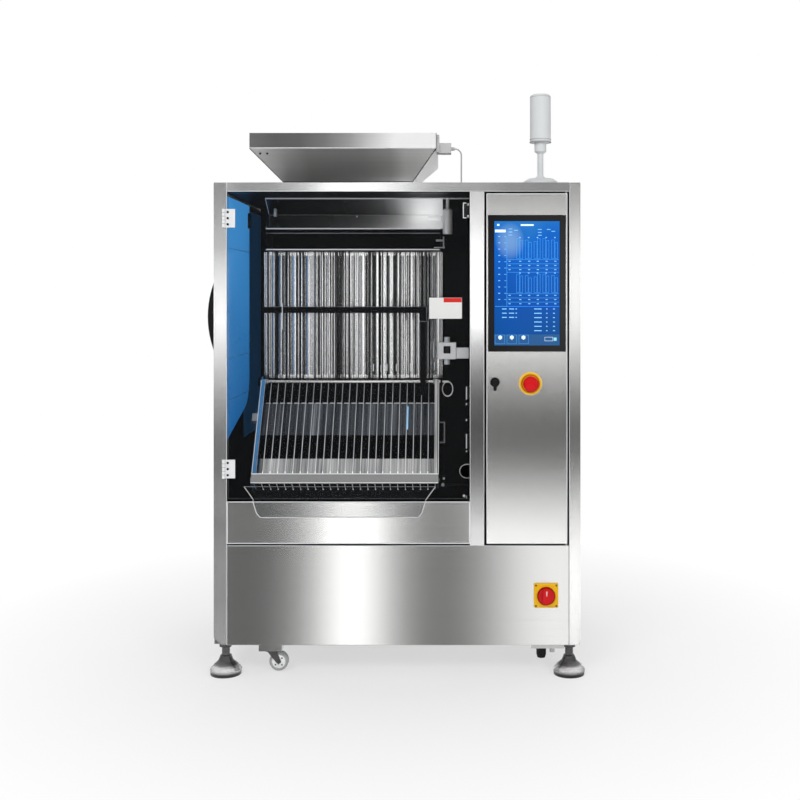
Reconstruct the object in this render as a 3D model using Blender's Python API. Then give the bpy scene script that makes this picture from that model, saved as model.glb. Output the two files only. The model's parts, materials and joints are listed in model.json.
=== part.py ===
"""Capsule checkweigher: a stainless cabinet on levelling feet with a clear front door over the
capsule lanes, a blue window in its side door, a control door with a touch screen, a feed hopper
and a signal lamp. Metres, +Z up, the front faces -Y, the origin is on the floor under the middle."""

import math

import bmesh
import bpy
from mathutils import Matrix, Vector

# Fits between neighbours
SEAT = 0.0003            # between faces that touch
REVEAL = 0.005           # round a door
RUNNING = 0.0005         # round a pin
BITE = 0.002             # how far a form that is fused to another reaches into it
THROUGH = 0.010          # how far a cutter reaches past what it cuts

# Cabinet
CABINET_WIDTH = 0.990
CABINET_DEPTH = 0.780
CABINET_BOTTOM = 0.085       # height of its underside
CABINET_TOP = 1.334
FRONT_SHEET = 0.006          # folded front sheets
TOP_THICKNESS = 0.025
SIDE_THICKNESS = 0.025
BACK_THICKNESS = 0.023
PARTITION_THICKNESS = 0.020
PARTITION_INSET = 0.002      # partition right of the post's left edge
BODY_INSET = 0.020           # body inside the outer face of the side door
LOWER_HEIGHT = 0.269         # lower housing
STRIP_WIDTH = 0.0305         # right edge strip
LEFT_POST_WIDTH = 0.036
POST_MITRE = 0.020
STRIP_CORNER = 0.012
POST_WIDTH = 0.039           # between the two doors
SILL_HEIGHT = 0.1135
INNER_WALL_INSET = 0.180     # inner wall before the cabinet's back
INNER_WALL_THICKNESS = 0.008

# Front door, clear
DOOR_THICKNESS = 0.006
DOOR_EDGE_GAP = 0.0035       # between the left post and the door
DOOR_PIN_INSET = 0.008       # hinge pin left of the opening
HINGE_LEAF_WIDTH = 0.0305
HINGE_LEAF_THICKNESS = 0.002
HINGE_HEIGHT = 0.050
HINGE_BARREL_RADIUS = 0.0045
HINGE_DROP = 0.067           # upper hinge's middle below the door's top edge
HINGE_RISE = 0.081           # lower hinge's middle above the door's foot
NOTCH_RADIUS = 0.020
NOTCH_RISE = 0.076           # finger notch above the door's foot
CATCH_WIDTH = 0.019
CATCH_LENGTH = 0.012
CATCH_HEIGHT = 0.040
CATCH_DROP = 0.030
CATCH_BEVEL = 0.001

# Side door
SIDE_DOOR_THICKNESS = 0.015
SIDE_DOOR_EDGE = 0.012       # its front edge behind the front plane
SIDE_DOOR_REAR = 0.0178      # its rear edge before the cabinet's back
SIDE_PIN_INSET = 0.0103      # hinge pin inside the door's outer face
SIDE_PIN_BEHIND = 0.0063     # and behind the door's rear edge
PANE_THICKNESS = 0.005
PANE_INSET = 0.002           # pane's inner face short of the left post's edge
SIDE_STILE = 0.037           # door in front of the window, which carries the handle
WINDOW_LENGTH = 0.291
WINDOW_RIM = 0.008
WINDOW_DROP = 0.044          # window below the cabinet's top
WINDOW_FRONT_RISE = 0.172    # window's foot above the sill, in front
WINDOW_REAR_RISE = 0.232     # and at the rear
WINDOW_CORNER = 0.090
SIDE_BARREL_RADIUS = 0.0055
SIDE_BARREL_LENGTH = 0.080
SIDE_WEB_HALF = 0.0035       # half thickness of the hinge's leaf
SIDE_HINGE_RISE = 0.215      # lower hinge above the cabinet's underside
SIDE_HINGE_DROP = 0.214      # upper hinge below the cabinet's top
HANDLE_HEIGHT = 0.200
HANDLE_REACH = 0.0195
HANDLE_WIDTH = 0.024
HANDLE_RISE = 0.399          # handle above the sill
HANDLE_SETBACK = 0.006       # behind the door's front edge

# Control door and what it carries
CONTROL_DOOR_THICKNESS = 0.018
LATCH_REVEAL = 0.006         # at the door's free edge, which swings wide
CONTROL_PIN_RADIUS = 0.0025
CONTROL_PIN_INSET = 0.003
SCREEN_WIDTH = 0.210
SCREEN_HEIGHT = 0.369
SCREEN_MARGIN = 0.004        # door beside the screen
SCREEN_DROP = 0.058          # screen below the door's top
SCREEN_PROUD = 0.002
SCREEN_LIP = 0.006           # bezel past the cut-out in the door
SCREEN_BODY_DEPTH = 0.045
DISPLAY_BORDER = 0.017
DISPLAY_THICKNESS = 0.0015
STOP_INSET = 0.100           # from the door's right edge
STOP_DROP = 0.0854           # below the screen
STOP_COLLAR_RADIUS = 0.031
STOP_COLLAR_THICKNESS = 0.010
STOP_HEAD_RADIUS = 0.0208
STOP_HEAD_LENGTH = 0.018
STOP_STEM_RADIUS = 0.0110
STOP_TRAVEL = 0.005
STOP_SPARE = 0.001           # under the pressed head
LOCK_INSET = 0.0225          # from the door's left edge
LOCK_DROP = 0.082            # below the screen
LOCK_RADIUS = 0.0135
LOCK_THICKNESS = 0.006
KEY_WIDTH = 0.008
KEY_REACH = 0.016
KEY_LENGTH = 0.022

# Main switch on the lower panel
SWITCH_INSET = 0.093         # from the cabinet's right
SWITCH_DROP = 0.134          # below the lower housing's top
SWITCH_PLATE = 0.066
SWITCH_PLATE_THICKNESS = 0.004
SWITCH_BEVEL = 0.0015
SWITCH_DISC_RADIUS = 0.024
SWITCH_DISC_THICKNESS = 0.010
SWITCH_GRIP_REACH = 0.022
SWITCH_GRIP_HALF = 0.011
SWITCH_GRIP_UP = 0.021
SWITCH_GRIP_DOWN = 0.022

# Lanes for the capsules
LANE_PITCH = 0.0205
LANE_SPARE = 0.120           # width of the bay that the lanes leave free
LANE_SHIFT = 0.01175         # lanes' middle left of the bay's middle
LANE_RISE = 0.3115           # tubes' foot above the sill
TUBE_RADIUS = 0.008
TUBE_DEPTH = 0.300
TUBE_SIDES = 12
HEADER_HEIGHT = 0.010
HEADER_HALF = 0.0085         # half depth of the headers and rails
RAIL_WIDTH = 0.018
BULKHEAD_THICKNESS = 0.008
ROD_SETBACK = 0.102          # chute's rod in front of the tubes' line
ROD_DROP = 0.003             # and below the tubes' foot
ROD_RADIUS = 0.005
LUG_HALF = 0.012             # half height of the lugs that hold the rod
LUG_THICKNESS = 0.005
RING_RADIUS = 0.015          # catch ring beside the right lug
RING_STRETCH = 1.4
RING_WIRE = 0.0013
RING_STUD_RADIUS = 0.003

# Discharge chute
CHUTE_SPARE = 0.0125         # rod past the lanes on each side
CHUTE_END_PLAY = 0.004
CHUTE_FOOT_DEPTH = 0.034     # rod's line at the chute's foot, behind the front
CHUTE_RISE = 0.0575          # and above the sill
CHUTE_TAIL = 0.020           # chute past that point
CHUTE_TOP = 0.012            # side plates above the rod's axis
CHUTE_SIDE = 0.003
CHUTE_CORNER = 0.008
FLANGE_WIDTH = 0.012
FLANGE_THICKNESS = 0.003
BAR_HEIGHT = 0.027
BAR_THICKNESS = 0.005
FIN_THICKNESS = 0.0018
FIN_FRONT = 0.008            # lane plates before and behind the rod's line
FIN_BACK = 0.030
FIN_CLEAR = 0.005            # between the rod and the lane plates
CROSS_ROD_RADIUS = 0.0015
CROSS_ROD_INSET = 0.004
FLOOR_SHEET = 0.003
FLOOR_START = 0.0535         # clear floor of the lanes, down the slope
FLOOR_STOP = 0.145           # its end before the chute's foot line
BAND_HEIGHT = 0.049          # steel floor near the foot
BAND_RISE = 0.023
BOSS_RADIUS = 0.007
BOSS_REACH = 0.003
BLOCK_PAD = (0.016, 0.016, 0.024)    # block on the left side plate
BLOCK_PAD_DROP = 0.106
PLATE_REACH = 0.018          # flat bracket on the right side plate
PLATE_THICKNESS = 0.004
PLATE_HEIGHT = 0.066
PLATE_DROP = 0.129
PLATE_FRAME = 0.004

# Crossbar over the tubes, with its arm and upright
CROSSBAR_ABOVE = 0.0155      # its middle above the tubes' middle
CROSSBAR_HEIGHT = 0.018
CROSSBAR_THICKNESS = 0.015
CROSSBAR_INSET = 0.046       # its right end left of the last lane
ARM_WIDTH = 0.020
ARM_HEIGHT = 0.040
ARM_REACH = 0.175            # arm before the tubes' line
UPRIGHT_DEPTH = 0.015
UPRIGHT_DROP = 0.0355        # upright's foot below the tubes' foot

# Feeder over the lanes
FEEDER_SPACE = 0.152         # tubes' top below the ceiling
FEEDER_SETBACK = 0.100       # panel's edges before the tubes' line
FEEDER_FOLD = 0.057          # how far its crease lies behind its edges
FEEDER_CREASE_DROP = 0.045
FEEDER_DROP = 0.088
FEEDER_SHEET = 0.003
FEEDER_FLANGE = 0.015
FEEDER_LEFT_INSET = 0.002    # left end inside the first lane
FEEDER_OVERHANG = 0.019      # right end past the last lane
TRAY_HEIGHT = 0.052
TRAY_WALL = 0.004
TRAY_INSET = 0.007           # tray's right end inside the panel's
DRIVE_RADIUS = 0.014
DRIVE_ROUND = 0.004
DRIVE_NECK_RADIUS = 0.005
DRIVE_DROP = 0.0315          # drive below the ceiling
DRIVE_HEIGHT = 0.0725

# Sensor block between the lanes and the partition
BLOCK_WIDTH = 0.053
BLOCK_DEPTH = 0.040
BLOCK_HEIGHT = 0.049
BLOCK_RISE = 0.058           # above the tubes' foot
BLOCK_STANDOFF = 0.0376      # from the partition
BLOCK_BRACKET = (0.010, 0.032)
STUB_RADIUS = 0.0085
STUB_LENGTH = 0.016

# Discharge lip over the sill, clear
LIP_SHEET = 0.002
LIP_TOP_DEPTH = 0.017
LIP_BEND_DEPTH = 0.012
LIP_RISE = 0.0375            # above the sill's top
LIP_DROP = 0.0425            # down the sill's front
LIP_CORNER = 0.012
LIP_OVERHANG = 0.014         # past the lanes at the top, on each side
LIP_SILL_INSET = 0.0125      # inside the lanes over the sill
LIP_FOOT_INSET = 0.0225      # and at its foot
LIP_FOOT_CUT = 0.010
LIP_SHIFT = 0.013            # lip's middle left of the lanes' middle

# Hopper on the top, with its level sensor
HOPPER_SHIFT = 0.009         # hopper's middle left of the lanes' middle
HOPPER_OVERHANG = 0.011      # rim past the lanes on each side
HOPPER_LENGTH = 0.500
HOPPER_FRONT = 0.060
HOPPER_NECK = 0.023          # straight neck above the top
HOPPER_TAPER = 0.0775
HOPPER_RIM = 0.0415
HOPPER_WALL = 0.003
THROAT_INSET = 0.0585        # throat inside the lanes on each side
THROAT_LENGTH = 0.200
SENSOR_LENGTH = 0.033
SENSOR_WIDTH = 0.040
SENSOR_HEIGHT = 0.028
SENSOR_PLATE = (0.008, 0.060, 0.048)
SENSOR_PLATE_LIFT = 0.012
SENSOR_DROP = 0.039          # below the rim's top edge
SENSOR_INSET = 0.040         # behind the hopper's front
GLAND_RADIUS = 0.005
GLAND_LENGTH = 0.010
CABLE_RADIUS = 0.002
CABLE_LOOP = 0.018
CABLE_STEPS = 8

# Signal lamp
LAMP_INSET = 0.100           # from the cabinet's right
LAMP_DEPTH = 0.100
LAMP_BASE_RADIUS = 0.047
LAMP_BASE_HEIGHT = 0.022
LAMP_BASE_RIM = 0.012
LAMP_POLE_RADIUS = 0.0083
LAMP_POLE_HEIGHT = 0.095
LAMP_FILLET = 0.006
LAMP_SOCKET_RADIUS = 0.0165
LAMP_SOCKET_HEIGHT = 0.025
LAMP_RADIUS = 0.029
LAMP_HEIGHT = 0.134
LAMP_ROUND = 0.008

# Feet, casters and what hangs under the housing
FOOT_INSET = 0.028
FOOT_BELL_RADIUS = 0.043
FOOT_PAD_RADIUS = 0.042
FOOT_PAD_HEIGHT = 0.008
FOOT_BELL_TOP = 0.050
FOOT_BELL_EDGE = 0.006
FOOT_NECK = 0.004
FOOT_STEM_RADIUS = 0.011
WHEEL_RADIUS = 0.026
WHEEL_WIDTH = 0.020
WHEEL_LIFT = 0.003
WHEEL_ROUND = 0.003
AXLE_RADIUS = 0.004
CASTER_PAD = 0.062
CASTER_PLATE = 0.006
CASTER_CROWN_RADIUS = 0.020
CASTER_TRAIL = 0.020
FORK_CHEEK = 0.003
FORK_GAP = 0.001
FORK_CLEAR = 0.002           # over the wheel
CASTER_SIDE_INSET = 0.150
CASTER_FRONT_DEPTH = 0.048
CASTER_REAR_INSET = 0.080
PAN_INSET = 0.103            # from the cabinet's left
PAN_WIDTH = 0.351
PAN_FRONT = 0.110
PAN_LENGTH = 0.290
PAN_DROP = 0.025
INLET_INSET = 0.043          # from the cabinet's right
INLET_WIDTH = 0.090
INLET_FRONT = 0.012
INLET_LENGTH = 0.048
INLET_PLATE = 0.012
AIR_INLET_AT = 0.030         # from the plate's left end
AIR_INLET_RADIUS = 0.0135
AIR_INLET_LENGTH = 0.030
GLAND_AT = 0.060
INLET_GLAND_RADIUS = 0.007
INLET_GLAND_LENGTH = 0.016

# The frame's origin is under the middle of the whole, so the cabinet stands a little off it
FOOT_OVERHANG = FOOT_BELL_RADIUS - FOOT_INSET
CENTRE_X = (HANDLE_REACH - FOOT_OVERHANG) / 2
FRONT_REACH = (2 * SEAT + STOP_COLLAR_THICKNESS + STOP_TRAVEL + STOP_SPARE + STOP_HEAD_LENGTH)
CENTRE_Y = (FRONT_REACH - FOOT_OVERHANG) / 2

# Places that follow from the sizes
LEFT = CENTRE_X - CABINET_WIDTH / 2
RIGHT = CENTRE_X + CABINET_WIDTH / 2
FRONT = CENTRE_Y - CABINET_DEPTH / 2
BODY_LEFT = LEFT + BODY_INSET
CEILING = CABINET_TOP - TOP_THICKNESS
LOWER_TOP = CABINET_BOTTOM + LOWER_HEIGHT
CONTROL_BAY = SCREEN_WIDTH + 2 * SCREEN_MARGIN + REVEAL + LATCH_REVEAL
STRIP_LEFT = RIGHT - STRIP_WIDTH
POST_RIGHT = STRIP_LEFT - CONTROL_BAY
POST_LEFT = POST_RIGHT - POST_WIDTH
WALL_LEFT = POST_LEFT + PARTITION_INSET
OPENING_LEFT = LEFT + LEFT_POST_WIDTH
SILL_FOOT = LOWER_TOP + REVEAL
SILL_TOP = SILL_FOOT + SILL_HEIGHT
DOOR_FOOT = SILL_TOP + SEAT + LIP_SHEET + REVEAL
DOOR_TOP = CEILING - REVEAL
NOTCH_HEIGHT = DOOR_FOOT + NOTCH_RISE
WINDOW_START = SIDE_DOOR_EDGE + SIDE_STILE
PANE_FACE = OPENING_LEFT - PANE_INSET - PANE_THICKNESS
SCREEN_FOOT = DOOR_TOP - SCREEN_DROP - SCREEN_HEIGHT
LANES = int((POST_LEFT - OPENING_LEFT - LANE_SPARE - 2 * RAIL_WIDTH) / LANE_PITCH)
LANE_HALF = LANES * LANE_PITCH / 2
BANK_HALF = LANE_HALF + RAIL_WIDTH
LANE_MIDDLE = (OPENING_LEFT + POST_LEFT) / 2 - LANE_SHIFT
TUBE_FOOT = SILL_TOP + LANE_RISE
TUBE_TOP = CEILING - FEEDER_SPACE
TUBE_FACE = TUBE_DEPTH - HEADER_HALF
ROD_DEPTH = TUBE_DEPTH - ROD_SETBACK
ROD_HEIGHT = TUBE_FOOT - ROD_DROP
ROD_HALF = LANE_HALF + CHUTE_SPARE
CHUTE_HALF = ROD_HALF - CHUTE_END_PLAY
SLOPE_RUN = ROD_DEPTH - CHUTE_FOOT_DEPTH
SLOPE_FALL = ROD_HEIGHT - SILL_TOP - CHUTE_RISE
SLOPE_LENGTH = math.hypot(SLOPE_RUN, SLOPE_FALL)
SLOPE_ANGLE = math.atan2(SLOPE_RUN, SLOPE_FALL)
CHUTE_END = SLOPE_LENGTH + CHUTE_TAIL
HOPPER_HALF = LANE_HALF + HOPPER_OVERHANG
HOPPER_ACROSS = LANE_MIDDLE - HOPPER_SHIFT
HOPPER_MIDDLE = HOPPER_FRONT + HOPPER_LENGTH / 2
THROAT_HALF = LANE_HALF - THROAT_INSET
RIM_TOP = CABINET_TOP + HOPPER_NECK + HOPPER_TAPER + HOPPER_RIM
WHEEL_HUB = WHEEL_LIFT + WHEEL_RADIUS
FORK_CROWN = WHEEL_HUB + WHEEL_RADIUS + FORK_CLEAR
CASTER_PAD_FOOT = FORK_CROWN + CASTER_PLATE

STEEL = (0.62, 0.62, 0.61)
BLACK = (0.012, 0.012, 0.013)
CLEAR = (0.75, 0.82, 0.88)
BLUE = (0.05, 0.28, 0.62)
YELLOW = (0.90, 0.56, 0.03)
RED = (0.74, 0.03, 0.02)
PALE = (0.78, 0.79, 0.79)
GREY = (0.55, 0.55, 0.55)


def behind(depth):
    """The Y of a plane that lies this far behind the cabinet's front."""
    return FRONT + depth


def clear_scene():
    for item in list(bpy.data.objects):
        bpy.data.objects.remove(item, do_unlink=True)


def material(name, colour, roughness, metallic):
    made = bpy.data.materials.new(name)
    made.use_nodes = True
    shader = made.node_tree.nodes["Principled BSDF"]
    shader.inputs["Base Color"].default_value = (*colour, 1.0)
    shader.inputs["Roughness"].default_value = roughness
    shader.inputs["Metallic"].default_value = metallic
    return made


def place(mesh_data, name, finish, at=(0, 0, 0), parent=None):
    """Puts a mesh into the scene as a named sub-part with its own material."""
    item = bpy.data.objects.new(name, mesh_data)
    bpy.context.scene.collection.objects.link(item)
    item.location = at
    if parent is not None:
        item.parent = parent
        item.location = Vector(at) - parent.location
    mesh_data.materials.append(material(name, *finish))
    return item


def pivot(name, at):
    """An empty on a joint's axis, which carries the pieces that move with it."""
    item = bpy.data.objects.new(name, None)
    bpy.context.scene.collection.objects.link(item)
    item.location = at
    return item


def to_mesh(shape, name):
    bmesh.ops.recalc_face_normals(shape, faces=shape.faces)
    data = bpy.data.meshes.new(name)
    shape.to_mesh(data)
    shape.free()
    return data


def block_mesh(low, high, bevel=0.0, name="block"):
    """A box between two corners, with its edges eased where bevel is given."""
    shape = bmesh.new()
    bmesh.ops.create_cube(shape, size=1.0)
    size = Vector(high) - Vector(low)
    bmesh.ops.scale(shape, vec=size, verts=shape.verts)
    bmesh.ops.translate(shape, vec=(Vector(high) + Vector(low)) / 2, verts=shape.verts)
    if bevel:
        bmesh.ops.bevel(shape, geom=shape.edges[:], offset=bevel, segments=1, affect="EDGES")
    return to_mesh(shape, name)


def prism_mesh(outline, axis, start, end, name="prism"):
    """An outline drawn in the plane across an axis and extruded along it."""
    places = {"X": lambda a, b, c: (c, a, b), "Y": lambda a, b, c: (a, c, b),
              "Z": lambda a, b, c: (a, b, c)}[axis]
    shape = bmesh.new()
    ring = [shape.verts.new(places(a, b, start)) for a, b in outline]
    face = shape.faces.new(ring)
    moved_parts = bmesh.ops.extrude_face_region(shape, geom=[face])["geom"]
    tops = [item for item in moved_parts if isinstance(item, bmesh.types.BMVert)]
    shift = Vector(places(0.0, 0.0, end - start))
    bmesh.ops.translate(shape, vec=shift, verts=tops)
    return to_mesh(shape, name)


def turned_mesh(profile, axis="Z", steps=24, name="turned"):
    """A closed profile of (radius, height) points spun about an axis."""
    shape = bmesh.new()
    loop = [shape.verts.new((radius, 0.0, height)) for radius, height in profile]
    edges = [shape.edges.new((loop[i], loop[(i + 1) % len(loop)])) for i in range(len(loop))]
    on_axis = [point for point in loop if point.co.x < 1e-9]
    if on_axis:
        edges = [e for e in edges if not all(point in on_axis for point in e.verts)]
    bmesh.ops.spin(shape, geom=loop + edges, axis=(0, 0, 1), cent=(0, 0, 0), steps=steps,
                   angle=math.tau)
    bmesh.ops.remove_doubles(shape, verts=shape.verts, dist=1e-6)
    loose = [e for e in shape.edges if not e.link_faces]
    bmesh.ops.delete(shape, geom=loose, context="EDGES")
    turn = {"Z": Matrix.Identity(4), "Y": Matrix.Rotation(math.pi / 2, 4, "X"),
            "X": Matrix.Rotation(math.pi / 2, 4, "Y")}[axis]
    bmesh.ops.transform(shape, matrix=turn, verts=shape.verts)
    return to_mesh(shape, name)


def rod_mesh(radius, start, end, axis="Z", steps=16, name="rod"):
    """A round bar between two heights of its own axis."""
    profile = [(0.0, start), (radius, start), (radius, end), (0.0, end)]
    return turned_mesh(profile, axis, steps, name)


def arc(centre_a, centre_b, radius, start, end, steps):
    """Points of an arc, both ends included, angles in degrees."""
    points = []
    for i in range(steps + 1):
        angle = math.radians(start + (end - start) * i / steps)
        points.append((centre_a + radius * math.cos(angle), centre_b + radius * math.sin(angle)))
    return points


def combine(item, meshes, operation="UNION"):
    """Applies an exact Boolean of each mesh to an item, in the item's own coordinates."""
    for data in meshes:
        tool = bpy.data.objects.new("tool", data)
        bpy.context.scene.collection.objects.link(tool)
        tool.hide_render = True
        tool.display_type = "WIRE"
        step = item.modifiers.new("combine", "BOOLEAN")
        step.operation = operation
        step.solver = "EXACT"
        step.object = tool
        bpy.context.view_layer.update()
        graph = bpy.context.evaluated_depsgraph_get()
        made = bpy.data.meshes.new_from_object(item.evaluated_get(graph))
        item.modifiers.clear()
        finish = item.data.materials[0]
        item.data = made
        made.materials.clear()
        made.materials.append(finish)
        bpy.data.objects.remove(tool, do_unlink=True)
    return item


def moved(data, shift):
    data.transform(Matrix.Translation(Vector(shift)))
    return data


def smooth(item, degrees=35):
    """Shades a round piece smooth and keeps its corners sharp."""
    item.data.shade_smooth()
    item.data.set_sharp_from_angle(angle=math.radians(degrees))
    return item


def block(name, low, high, finish, bevel=0.0, parent=None):
    """A box-shaped sub-part with its origin in its middle."""
    middle = (Vector(low) + Vector(high)) / 2
    data = block_mesh(Vector(low) - middle, Vector(high) - middle, bevel, name)
    return place(data, name, finish, middle, parent)


def centred(item):
    """Moves an item's place into its mesh, so that tools in world coordinates fit it."""
    item.data.transform(Matrix.Translation(item.location))
    item.location = (0, 0, 0)
    return item


def hang(item, axis):
    """Ties a piece made in world coordinates to an empty, whose place becomes its origin."""
    item.data.transform(Matrix.Translation(-axis.location))
    item.parent = axis
    return item


def front_frame():
    """Top beam and right strip, one folded sheet with a rounded lower corner."""
    corner = arc(RIGHT - STRIP_CORNER, CABINET_BOTTOM + STRIP_CORNER, STRIP_CORNER, 0, -90, 4)
    left = OPENING_LEFT + SEAT
    outline = [(left, CABINET_TOP), (RIGHT, CABINET_TOP), *corner, (STRIP_LEFT, CABINET_BOTTOM),
               (STRIP_LEFT, CEILING), (left, CEILING)]
    data = prism_mesh(outline, "Y", behind(0.0), behind(FRONT_SHEET), "front_frame")
    return place(data, "front_frame", (STEEL, 0.3, 1.0))


def left_post():
    """Left edge post, mitred at its lower outer corner."""
    outline = [(LEFT, CABINET_TOP), (OPENING_LEFT, CABINET_TOP), (OPENING_LEFT, CABINET_BOTTOM),
               (LEFT + POST_MITRE, CABINET_BOTTOM), (LEFT, CABINET_BOTTOM + POST_MITRE)]
    data = prism_mesh(outline, "Y", behind(0.0), behind(FRONT_SHEET), "left_post")
    return place(data, "left_post", (STEEL, 0.3, 1.0))


def front_fascia():
    """Lower panel and the post between the doors, cut from one sheet."""
    low, top, left = CABINET_BOTTOM, CEILING - SEAT, OPENING_LEFT + SEAT
    right = STRIP_LEFT - SEAT
    outline = [(left, low), (right, low), (right, LOWER_TOP), (POST_RIGHT, LOWER_TOP),
               (POST_RIGHT, top), (POST_LEFT, top), (POST_LEFT, LOWER_TOP), (left, LOWER_TOP)]
    data = prism_mesh(outline, "Y", behind(0.0), behind(FRONT_SHEET), "front_fascia")
    return place(data, "front_fascia", (STEEL, 0.3, 1.0))


def housing():
    """The sheets behind the front: sill, top, right side, back, lower housing and walls."""
    skin = behind(FRONT_SHEET + SEAT)
    steel = (STEEL, 0.32, 1.0)
    black = (BLACK, 0.4, 0.0)
    rear = behind(CABINET_DEPTH)
    back = behind(CABINET_DEPTH - BACK_THICKNESS)
    under = CEILING - SEAT
    inner_right = RIGHT - SIDE_THICKNESS - SEAT
    floor = LOWER_TOP + SEAT
    block("sill_panel", (OPENING_LEFT + SEAT, behind(0.0), SILL_FOOT),
          (POST_LEFT - SEAT, behind(FRONT_SHEET), SILL_TOP), steel)
    top = block("top_plate", (BODY_LEFT, skin, CEILING), (RIGHT, rear, CABINET_TOP), steel)
    block("right_side_panel", (RIGHT - SIDE_THICKNESS, skin, CABINET_BOTTOM), (RIGHT, rear, under), steel)
    lower = block("lower_housing", (BODY_LEFT, skin, CABINET_BOTTOM), (inner_right, rear, LOWER_TOP), steel)
    block("back_panel", (BODY_LEFT, back, floor), (inner_right, rear, under), steel)
    block("partition_wall", (WALL_LEFT, skin, floor), (WALL_LEFT + PARTITION_THICKNESS, back - SEAT, under),
          black)
    wall = behind(CABINET_DEPTH - INNER_WALL_INSET)
    block("inner_back_wall", (BODY_LEFT + REVEAL, wall, floor),
          (WALL_LEFT - SEAT, wall + INNER_WALL_THICKNESS, under), black)
    hole = block_mesh(*throat_box(SEAT, CEILING - THROUGH, CABINET_TOP + THROUGH))
    combine(centred(top), [hole], "DIFFERENCE")
    half = CASTER_PAD / 2
    pads = [block_mesh((x - half, behind(depth) - half, CASTER_PAD_FOOT),
                       (x + half, behind(depth) + half, CABINET_BOTTOM + BITE))
            for x, depth in caster_places()]
    combine(centred(lower), pads)


def throat_box(spare, low, high):
    """Corners of the hopper's throat, made larger all round by a spare."""
    half_x, half_y = THROAT_HALF + spare, THROAT_LENGTH / 2 + spare
    y = behind(HOPPER_MIDDLE)
    return (HOPPER_ACROSS - half_x, y - half_y, low), (HOPPER_ACROSS + half_x, y + half_y, high)


def front_door():
    """Clear front door with a finger notch, its two hinges and its catch."""
    axis = pivot("front_door_pivot", (OPENING_LEFT - DOOR_PIN_INSET,
                                      behind(-SEAT - HINGE_BARREL_RADIUS), 0))
    left, right = OPENING_LEFT + DOOR_EDGE_GAP, POST_LEFT - REVEAL
    notch = arc(right, NOTCH_HEIGHT, NOTCH_RADIUS, -90, -270, 10)
    outline = [(left, DOOR_FOOT), (right, DOOR_FOOT), *notch, (right, DOOR_TOP), (left, DOOR_TOP)]
    data = prism_mesh(outline, "Y", behind(0.0), behind(DOOR_THICKNESS), "front_door")
    hang(place(data, "front_door", (CLEAR, 0.05, 0.0)), axis)
    front_hinge("front_hinge_upper", DOOR_TOP - HINGE_DROP, axis)
    front_hinge("front_hinge_lower", DOOR_FOOT + HINGE_RISE, axis)
    edge = WALL_LEFT - SEAT
    top = CEILING - CATCH_DROP
    start = DOOR_THICKNESS + REVEAL
    block("door_catch", (edge - CATCH_WIDTH, behind(start), top - CATCH_HEIGHT),
          (edge, behind(start + CATCH_LENGTH), top), (BLACK, 0.5, 0.0), CATCH_BEVEL)


def front_hinge(name, middle, axis):
    """A hinge of the front door: a barrel before the left post and a leaf over the door."""
    low, high = middle - HINGE_HEIGHT / 2, middle + HINGE_HEIGHT / 2
    x, y, _ = axis.location
    leaf = block_mesh((x, behind(-SEAT - HINGE_LEAF_THICKNESS), low),
                      (x + HINGE_LEAF_WIDTH, behind(-SEAT), high))
    item = place(leaf, name, (STEEL, 0.25, 1.0))
    barrel = rod_mesh(HINGE_BARREL_RADIUS, low, high)
    hang(combine(item, [moved(barrel, (x, y, 0))]), axis)


def side_door():
    """Left side door: a sheet with a window cut-out, a rim for the pane, hinges and a handle."""
    rear = CABINET_DEPTH - SIDE_DOOR_REAR
    axis = pivot("side_door_pivot", (LEFT + SIDE_PIN_INSET, behind(rear + SIDE_PIN_BEHIND), 0))
    inner = LEFT + SIDE_DOOR_THICKNESS
    data = block_mesh((LEFT, behind(SIDE_DOOR_EDGE), CABINET_BOTTOM), (inner, behind(rear), CABINET_TOP))
    item = place(data, "side_door", (STEEL, 0.32, 1.0))
    ring = prism_mesh(window_outline(WINDOW_RIM), "X", inner - BITE, PANE_FACE - SEAT)
    hole = prism_mesh(window_outline(0.0), "X", LEFT - THROUGH, PANE_FACE + THROUGH)
    combine(item, [ring])
    hang(combine(item, [hole], "DIFFERENCE"), axis)
    pane = window_outline(WINDOW_RIM)
    pane[0], pane[1] = ((behind(SIDE_DOOR_EDGE), height) for _, height in pane[:2])
    data = prism_mesh(pane, "X", PANE_FACE, PANE_FACE + PANE_THICKNESS, "side_window")
    hang(place(data, "side_window", (BLUE, 0.08, 0.0)), axis)
    side_door_handle(axis)
    side_hinge("side_hinge_lower", CABINET_BOTTOM + SIDE_HINGE_RISE, axis)
    side_hinge("side_hinge_upper", CABINET_TOP - SIDE_HINGE_DROP, axis)


def window_outline(grow):
    """The window's cut-out in the side door, as (y, z), made larger all round by a growth."""
    near, far = behind(WINDOW_START - grow), behind(WINDOW_START + WINDOW_LENGTH + grow)
    top = CABINET_TOP - WINDOW_DROP + grow
    low, rear_low = SILL_TOP + WINDOW_FRONT_RISE - grow, SILL_TOP + WINDOW_REAR_RISE - grow
    corner = arc(far - WINDOW_CORNER, rear_low + WINDOW_CORNER, WINDOW_CORNER, -75, 0, 6)
    return [(near, top), (near, low), *corner, (far, top)]


def side_door_handle(axis):
    """A bow handle on the side door's outer face, behind its front edge."""
    middle = SILL_TOP + HANDLE_RISE + HANDLE_HEIGHT / 2
    radius = (HANDLE_HEIGHT ** 2 / 4 + HANDLE_REACH ** 2) / (2 * HANDLE_REACH)
    half = math.degrees(math.asin(HANDLE_HEIGHT / 2 / radius))
    face = LEFT - SEAT
    bow = arc(LEFT - HANDLE_REACH + radius, middle, radius, 180 - half, 180 + half, 12)
    bow[0], bow[-1] = (face, bow[0][1]), (face, bow[-1][1])
    start = behind(SIDE_DOOR_EDGE + HANDLE_SETBACK)
    data = prism_mesh(bow, "Y", start, start + HANDLE_WIDTH, "side_door_handle")
    hang(place(data, "side_door_handle", (BLACK, 0.4, 0.0)), axis)


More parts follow.
